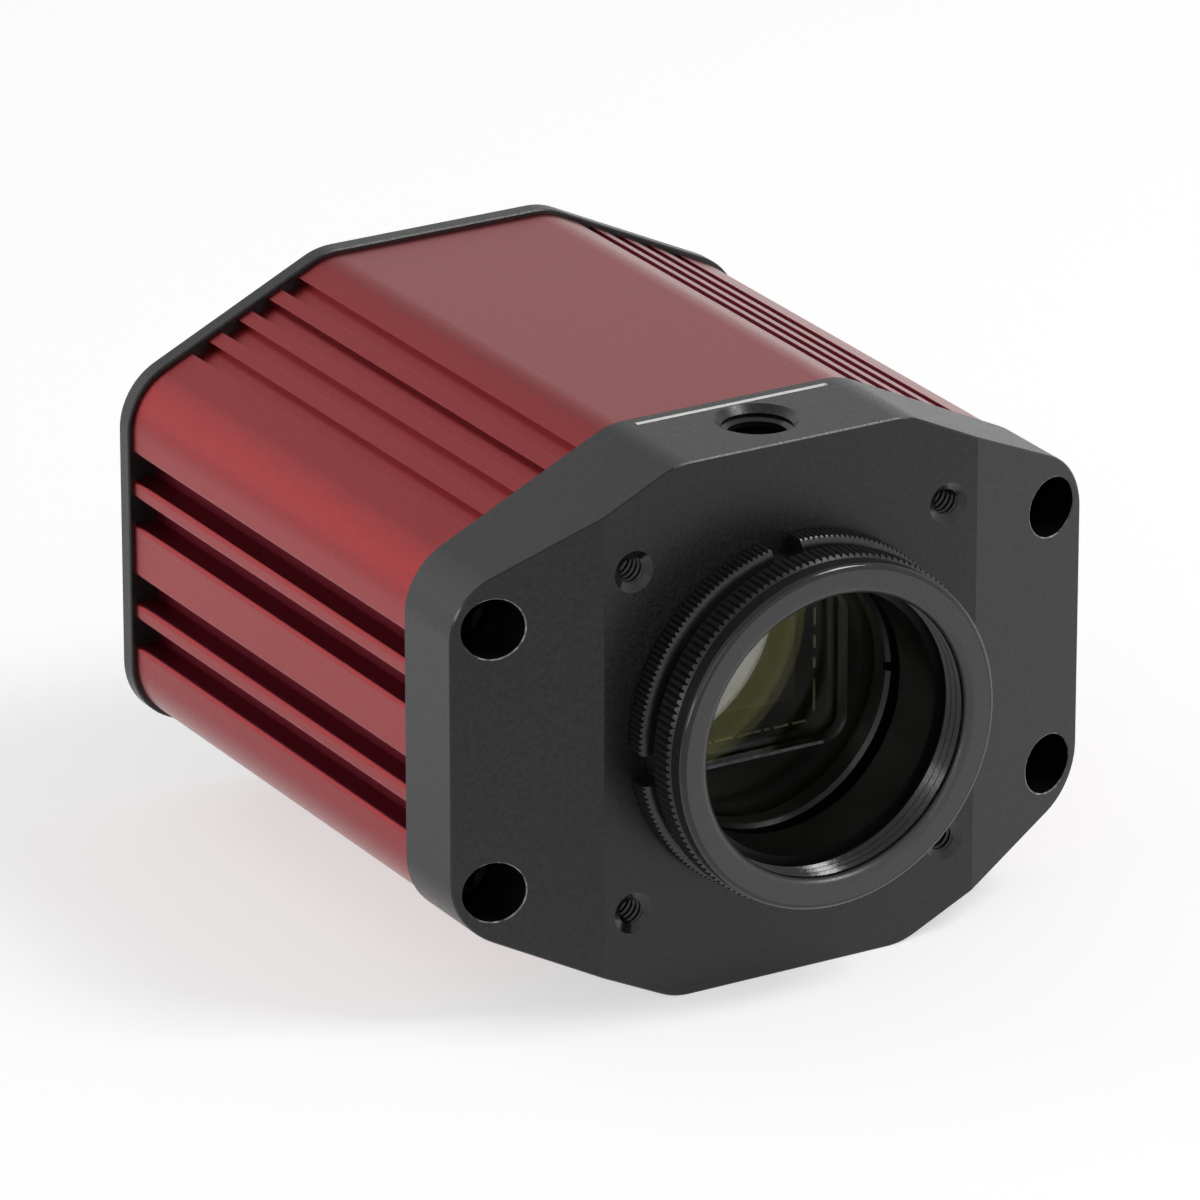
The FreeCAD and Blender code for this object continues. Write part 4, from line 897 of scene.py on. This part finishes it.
# Data connector: a folded steel shell round a black contact tongue with gold contacts.
# A threaded nut on each side takes the plug's thumb screws.
DATA_X = -10.3
DATA_MOUTH = 60.6
DATA_FOOT = 51.6
DATA_WIDTH = 12.4
DATA_HEIGHT = 4.2
DATA_ROUND = 0.9
DATA_WALL = 0.4
DATA_DEPTH = 5.2
DATA_BREAK = 0.1
TONGUE_WIDTH = 9.2
TONGUE_THICK = 0.9
TONGUE_BREAK = 0.12
CONTACTS = 5
CONTACT_WIDTH = 0.5
CONTACT_PITCH = 1.5
CONTACT_SHORT = 0.5
CONTACT_SINK = 0.05
CONTACT_PROUD = 0.03
NUT_SPACING = 18.0
NUT_RADIUS = 1.9
NUT_FLANGE = 2.4
NUT_MINOR = 0.85
NUT_MAJOR = 1.05
NUT_PITCH = 0.45
NUT_LEAD = 0.1
NUT_BREAK = (0.25, 0.2)
NUT_STEPS = 48
NUT_FRONT = 57.4
NUT_SEAT = 58.4


def rounded_bar(width, height, front, rear, corner):
    """Makes a bar along Y about the data connector's axis, with rounded corners."""
    shape = bar((-width / 2, front, -height / 2), (width / 2, rear, height / 2))
    long_edges = [edge for edge in shape.edges if abs(edge.verts[0].co.y - edge.verts[1].co.y) > MM]
    bmesh.ops.bevel(shape, geom=long_edges, offset=corner * MM, offset_type="OFFSET", segments=6,
                    profile=0.5, affect="EDGES", material=-1, clamp_overlap=True)
    return shape


shell = rounded_bar(DATA_WIDTH, DATA_HEIGHT, DATA_FOOT, DATA_MOUTH, DATA_ROUND)
hollow = rounded_bar(DATA_WIDTH - 2 * DATA_WALL, DATA_HEIGHT - 2 * DATA_WALL, DATA_MOUTH - DATA_DEPTH,
                     DATA_MOUTH + CLEAR, DATA_ROUND - DATA_WALL)
shell = carved(shell, hollow)
mouth_plane = (DATA_MOUTH - NEAR) * MM
mouth_edges = [edge for edge in shell.edges if min(vert.co.y for vert in edge.verts) > mouth_plane]
bmesh.ops.bevel(shell, geom=mouth_edges, offset=DATA_BREAK * MM, offset_type="OFFSET", segments=2,
                profile=0.5, affect="EDGES", material=-1, clamp_overlap=True)
bmesh.ops.translate(shell, vec=(DATA_X * MM, 0, 0), verts=shell.verts)
finished(shell, "data_socket_shell", [bright_steel], CASE, "data_connector_shell")
tongue = bar((DATA_X - TONGUE_WIDTH / 2, DATA_MOUTH - DATA_DEPTH, -TONGUE_THICK / 2),
             (DATA_X + TONGUE_WIDTH / 2, DATA_MOUTH - DATA_WALL, TONGUE_THICK / 2))
tongue = softened(tongue, TONGUE_BREAK)
contact_end = DATA_MOUTH - DATA_WALL - CONTACT_SHORT
for step in range(CONTACTS):
    x = DATA_X + (step - (CONTACTS - 1) / 2) * CONTACT_PITCH
    contact = bar((x - CONTACT_WIDTH / 2, DATA_MOUTH - DATA_DEPTH, TONGUE_THICK / 2 - CONTACT_SINK),
                  (x + CONTACT_WIDTH / 2, contact_end, TONGUE_THICK / 2 + CONTACT_PROUD))
    for face in contact.faces:
        face.material_index = 1
    added(tongue, contact, Matrix())
finished(tongue, "data_socket_tongue", [moulded_black, gold], CASE,
         "data_connector_tongue")
plated_brass = new_finish("plated_brass", (0.6, 0.58, 0.54), {"Metallic": 1.0})
vary(plated_brass, grain(plated_brass, (0.1, 0.6, 0.1)), "Roughness", 0.2, 0.34)
tint(plated_brass, grain(plated_brass, (0.6, 0.6, 0.6), 3), (0.54, 0.52, 0.48), (0.65, 0.63, 0.59))
nut_thread = thread_line(NUT_MINOR, NUT_MAJOR, NUT_FRONT + NUT_LEAD, DATA_MOUTH - 2 * NUT_LEAD, NUT_PITCH)
nut_line = [(NUT_MINOR, NUT_FRONT)] + nut_thread + [
    (NUT_MAJOR, DATA_MOUTH),
    (NUT_RADIUS - NUT_BREAK[0], DATA_MOUTH),
    (NUT_RADIUS, DATA_MOUTH - NUT_BREAK[1]),
    (NUT_RADIUS, NUT_SEAT),
    (NUT_FLANGE, NUT_SEAT),
    (NUT_FLANGE, NUT_FRONT),
]
nuts = bmesh.new()
for side in (NUT_SPACING / 2, -NUT_SPACING / 2):
    added(nuts, turned(nut_line, NUT_STEPS), Matrix.Translation(((DATA_X + side) * MM, 0, 0)))
finished(nuts, "data_socket_nuts", [plated_brass], CASE, "data_connector_nuts")

# Trigger connector: a plated round socket with a flange, a black insert and twelve gold pins.
# A hexagon nut behind the plate holds it.
TRIGGER_X = 9.2
TRIGGER_MOUTH = 62.9
TRIGGER_RADIUS = 5.0
TRIGGER_BORE = 4.1
TRIGGER_FLANGE = 6.2
FLANGE_THICK = 0.9
SHELL_BREAK = 0.15
SHELL_FILLET = 0.1
BORE_LEAD = 0.2
SHELL_STEPS = 96
INSERT_FACE = 54.7
INSERT_EDGE = ((0.05, 0.2), (0.25, 0.0), (0.6, 0.0), (0.65, 0.05))
PIN_TIP = 58.5
PIN_RADIUS = 0.35
PIN_NOSE = ((1.0, 0.3), (0.85, 0.12), (0.45, 0.0))
PIN_CIRCLES = ((8, 2.9), (4, 1.3))
socket_line = [
    (TRIGGER_BORE, DATA_FOOT),
    (TRIGGER_RADIUS, DATA_FOOT),
    (TRIGGER_RADIUS, REAR_FACE),
    (TRIGGER_FLANGE - SHELL_FILLET, REAR_FACE),
    (TRIGGER_FLANGE, REAR_FACE + SHELL_FILLET),
    (TRIGGER_FLANGE, REAR_FACE + FLANGE_THICK - SHELL_BREAK),
    (TRIGGER_FLANGE - SHELL_BREAK, REAR_FACE + FLANGE_THICK),
    (TRIGGER_RADIUS + SHELL_FILLET, REAR_FACE + FLANGE_THICK),
    (TRIGGER_RADIUS, REAR_FACE + FLANGE_THICK + SHELL_FILLET),
    (TRIGGER_RADIUS, TRIGGER_MOUTH - SHELL_BREAK),
    (TRIGGER_RADIUS - SHELL_BREAK, TRIGGER_MOUTH),
    (TRIGGER_BORE + BORE_LEAD, TRIGGER_MOUTH),
    (TRIGGER_BORE, TRIGGER_MOUTH - BORE_LEAD),
]
TO_TRIGGER = Matrix.Translation((TRIGGER_X * MM, 0, 0))
socket = turned(socket_line, SHELL_STEPS)
bmesh.ops.transform(socket, matrix=TO_TRIGGER, verts=socket.verts)
finished(socket, "trigger_socket_shell", [plated_brass], CASE, "trigger_connector_shell")
insert_edge = [(TRIGGER_BORE - inset, INSERT_FACE - drop, 0) for inset, drop in INSERT_EDGE]
insert = lofted([(insert_edge[0][0], DATA_FOOT, 0)] + insert_edge)
bmesh.ops.transform(insert, matrix=TO_TRIGGER, verts=insert.verts)
finished(insert, "trigger_socket_insert", [moulded_black], CASE,
         "trigger_connector_insert")
pins = bmesh.new()
for count, circle in PIN_CIRCLES:
    for step in range(count):
        angle = 2 * math.pi * step / count
        place = Matrix.Translation((circle * math.cos(angle) * MM, 0, circle * math.sin(angle) * MM))
        nose = [(PIN_RADIUS * share, PIN_TIP - drop, 0) for share, drop in PIN_NOSE]
        added(pins, lofted([(PIN_RADIUS, INSERT_FACE, 0)] + nose), TO_TRIGGER @ place)
finished(pins, "trigger_socket_pins", [gold], CASE, "trigger_connector_pins")
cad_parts["trigger_connector_nut"].data.materials.clear()
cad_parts["trigger_connector_nut"].data.materials.append(plated_brass)

# Status lamp: a clear moulded plastic light pipe, pushed through the rear plate from inside.
# It carries the light of a lamp on the board to a small dome on the plate's face.
LAMP_Z = 9.05
LAMP_RADIUS = 1.1
LAMP_TOP = 60.4
LAMP_DOME = ((0.0, 0.4), (0.06, 0.25), (0.25, 0.1), (0.6, 0.02), (0.9, 0.0))
lamp_plastic = new_finish("lamp_plastic", (0.62, 0.8, 0.55), {"IOR": 1.49, "Transmission Weight": 0.5})
vary(lamp_plastic, grain(lamp_plastic, (0.4, 0.4, 0.4)), "Roughness", 0.12, 0.24)
tint(lamp_plastic, grain(lamp_plastic, (0.5, 0.5, 0.5)), (0.56, 0.76, 0.5), (0.68, 0.84, 0.6))
lamp_dome = [(LAMP_RADIUS - inset, LAMP_TOP - drop, 0) for inset, drop in LAMP_DOME]
lamp = lofted([(LAMP_RADIUS, DATA_FOOT, 0)] + lamp_dome)
bmesh.ops.translate(lamp, vec=(DATA_X * MM, 0, LAMP_Z * MM), verts=lamp.verts)
finished(lamp, "status_light_pipe", [lamp_plastic], CASE, "status_lamp")

# Stage: a wide sheet of pale paper under the camera, white to the eye.
# Mirrored in the black parts it is dimmer in front, where the object keeps the light off it.
FLOOR_REACH = 6.0
FLOOR_COLOUR = (0.6, 0.6, 0.6)
FLOOR_LIFT = 0.6
FLOOR_DIM = 0.24
DIM_TOWARDS = (-0.524, -0.852, 0)
DIM_START = 0.0
DIM_END = 0.07
floor_shape = bmesh.new()
bmesh.ops.create_grid(floor_shape, x_segments=1, y_segments=1, size=FLOOR_REACH)
bmesh.ops.translate(floor_shape, vec=(0, 0, cad_box[0].z), verts=floor_shape.verts)
floor_mesh = bpy.data.meshes.new("floor")
floor_shape.to_mesh(floor_mesh)
floor_shape.free()
floor = bpy.data.objects.new("floor", floor_mesh)
bpy.context.scene.collection.objects.link(floor)
paper = bpy.data.materials.new("paper")
paper.use_nodes = True
paper_nodes = paper.node_tree.nodes
paper_links = paper.node_tree.links
paper_nodes.clear()
paper_face = paper_nodes.new("ShaderNodeBsdfDiffuse")
paper_face.inputs["Color"].default_value = (*FLOOR_COLOUR, 1)
lift = paper_nodes.new("ShaderNodeEmission")


def by_ray(nodes, links, seen, mirrored, lighting):
    """Returns a level for rays from the camera or through glass, another in mirrors and one for light."""
    path = nodes.new("ShaderNodeLightPath")
    direct = nodes.new("ShaderNodeMath")
    direct.operation = "MAXIMUM"
    links.new(path.outputs["Is Camera Ray"], direct.inputs[0])
    links.new(path.outputs["Is Transmission Ray"], direct.inputs[1])
    level = None
    for chooser, value in ((path.outputs["Is Glossy Ray"], mirrored), (direct.outputs["Value"], seen)):
        pick = nodes.new("ShaderNodeMix")
        pick.data_type = "FLOAT"
        links.new(chooser, pick.inputs["Factor"])
        if level is None:
            pick.inputs["A"].default_value = lighting
        else:
            links.new(level, pick.inputs["A"])
        if isinstance(value, float):
            pick.inputs["B"].default_value = value
        else:
            links.new(value, pick.inputs["B"])
        level = pick.outputs["Result"]
    return level


spot = paper_nodes.new("ShaderNodeTexCoord")
nearer = paper_nodes.new("ShaderNodeVectorMath")
nearer.operation = "DOT_PRODUCT"
nearer.inputs[1].default_value = DIM_TOWARDS
dimming = paper_nodes.new("ShaderNodeMapRange")
dimming.inputs["From Min"].default_value = DIM_START
dimming.inputs["From Max"].default_value = DIM_END
dimming.inputs["To Min"].default_value = FLOOR_LIFT
dimming.inputs["To Max"].default_value = FLOOR_DIM
paper_links.new(spot.outputs["Object"], nearer.inputs[0])
paper_links.new(nearer.outputs["Value"], dimming.inputs["Value"])
lift_level = by_ray(paper_nodes, paper_links, FLOOR_LIFT, dimming.outputs["Result"], 0.0)
paper_links.new(lift_level, lift.inputs["Strength"])
paper_sum = paper_nodes.new("ShaderNodeAddShader")
paper_out = paper_nodes.new("ShaderNodeOutputMaterial")
paper_links.new(paper_face.outputs["BSDF"], paper_sum.inputs[0])
paper_links.new(lift.outputs["Emission"], paper_sum.inputs[1])
paper_links.new(paper_sum.outputs["Shader"], paper_out.inputs["Surface"])
floor_mesh.materials.append(paper)

# Studio light: a white cloth tent all round, a little brighter on the left and dimmer above.
# Soft lamps shine into it: one above on the right, a wide one behind, a small one on the left, and a
# slim upright one in front, which draws the thin bright lines on the turned edges.
TENT_LIGHT = 0.4
TENT_SEEN = 1.0
TENT_LEFT = 1.0
TENT_RIGHT = 0.96
TENT_ROOF = 0.58
LEFT_TO_RIGHT = (-0.7, 0.1)
WALL_TO_ROOF = (0.4, 0.7)
AIM = (0, 0.028, 0)
tent = bpy.data.worlds.new("tent")
tent.use_nodes = True
bpy.context.scene.world = tent
tent_nodes = tent.node_tree.nodes
tent_links = tent.node_tree.links
tent_nodes.clear()
towards = tent_nodes.new("ShaderNodeTexCoord")
sides = tent_nodes.new("ShaderNodeSeparateXYZ")
tent_links.new(towards.outputs["Generated"], sides.inputs["Vector"])
across = tent_nodes.new("ShaderNodeMapRange")
across.inputs["From Min"].default_value = LEFT_TO_RIGHT[0]
across.inputs["From Max"].default_value = LEFT_TO_RIGHT[1]
across.inputs["To Min"].default_value = TENT_LEFT
across.inputs["To Max"].default_value = TENT_RIGHT
tent_links.new(sides.outputs["X"], across.inputs["Value"])
higher = tent_nodes.new("ShaderNodeMapRange")
higher.inputs["From Min"].default_value = WALL_TO_ROOF[0]
higher.inputs["From Max"].default_value = WALL_TO_ROOF[1]
higher.inputs["To Min"].default_value = 1.0
higher.inputs["To Max"].default_value = TENT_ROOF
tent_links.new(sides.outputs["Z"], higher.inputs["Value"])
cloth_level = tent_nodes.new("ShaderNodeMath")
cloth_level.operation = "MULTIPLY"
tent_links.new(across.outputs["Result"], cloth_level.inputs[0])
tent_links.new(higher.outputs["Result"], cloth_level.inputs[1])
tent_cloth = tent_nodes.new("ShaderNodeBackground")
tent_out = tent_nodes.new("ShaderNodeOutputWorld")
tent_level = by_ray(tent_nodes, tent_links, TENT_SEEN, cloth_level.outputs["Value"], TENT_LIGHT)
tent_links.new(tent_level, tent_cloth.inputs["Strength"])
tent_links.new(tent_cloth.outputs["Background"], tent_out.inputs["Surface"])


def soft_lamp(name, place, width, height, power):
    """Hangs a soft lamp of a width and height in metres that faces the object's middle."""
    light = bpy.data.lights.new(name, "AREA")
    light.shape = "RECTANGLE"
    light.size = width
    light.size_y = height
    light.energy = power
    lamp_object = bpy.data.objects.new(name, light)
    lamp_object.location = place
    aim = Vector(AIM) - Vector(place)
    lamp_object.rotation_euler = aim.to_track_quat("-Z", "Y").to_euler()
    bpy.context.scene.collection.objects.link(lamp_object)


soft_lamp("overhead_lamp", (0.43, -0.34, 0.71), width=0.3, height=0.3, power=3.2)
soft_lamp("rear_lamp", (-0.47, 0.75, 0.41), width=0.9, height=0.9, power=1.15)
soft_lamp("left_lamp", (-0.84, -0.24, 0.13), width=0.3, height=0.2, power=0.6)
soft_lamp("front_lamp", (-0.56, -0.66, 0.4), width=0.06, height=0.45, power=0.3)

# Camera: a long lens from the front left, a little above the object.
# Its place and focal length were solved from the four cage taps, as the object was photographed.
view = bpy.data.cameras.new("view")
view.lens = 309.395
view.sensor_width = 36.0
view.clip_start = 0.01
view.clip_end = 50.0
viewer = bpy.data.objects.new("viewer", view)
viewer.location = (-0.409638, -0.664951, 0.322638)
viewer.rotation_euler = (math.radians(68.1498), 0, math.radians(-30.4845))
bpy.context.scene.collection.objects.link(viewer)
bpy.context.scene.camera = viewer
bpy.context.scene.view_settings.view_transform = "Standard"

bpy.context.view_layer.update()
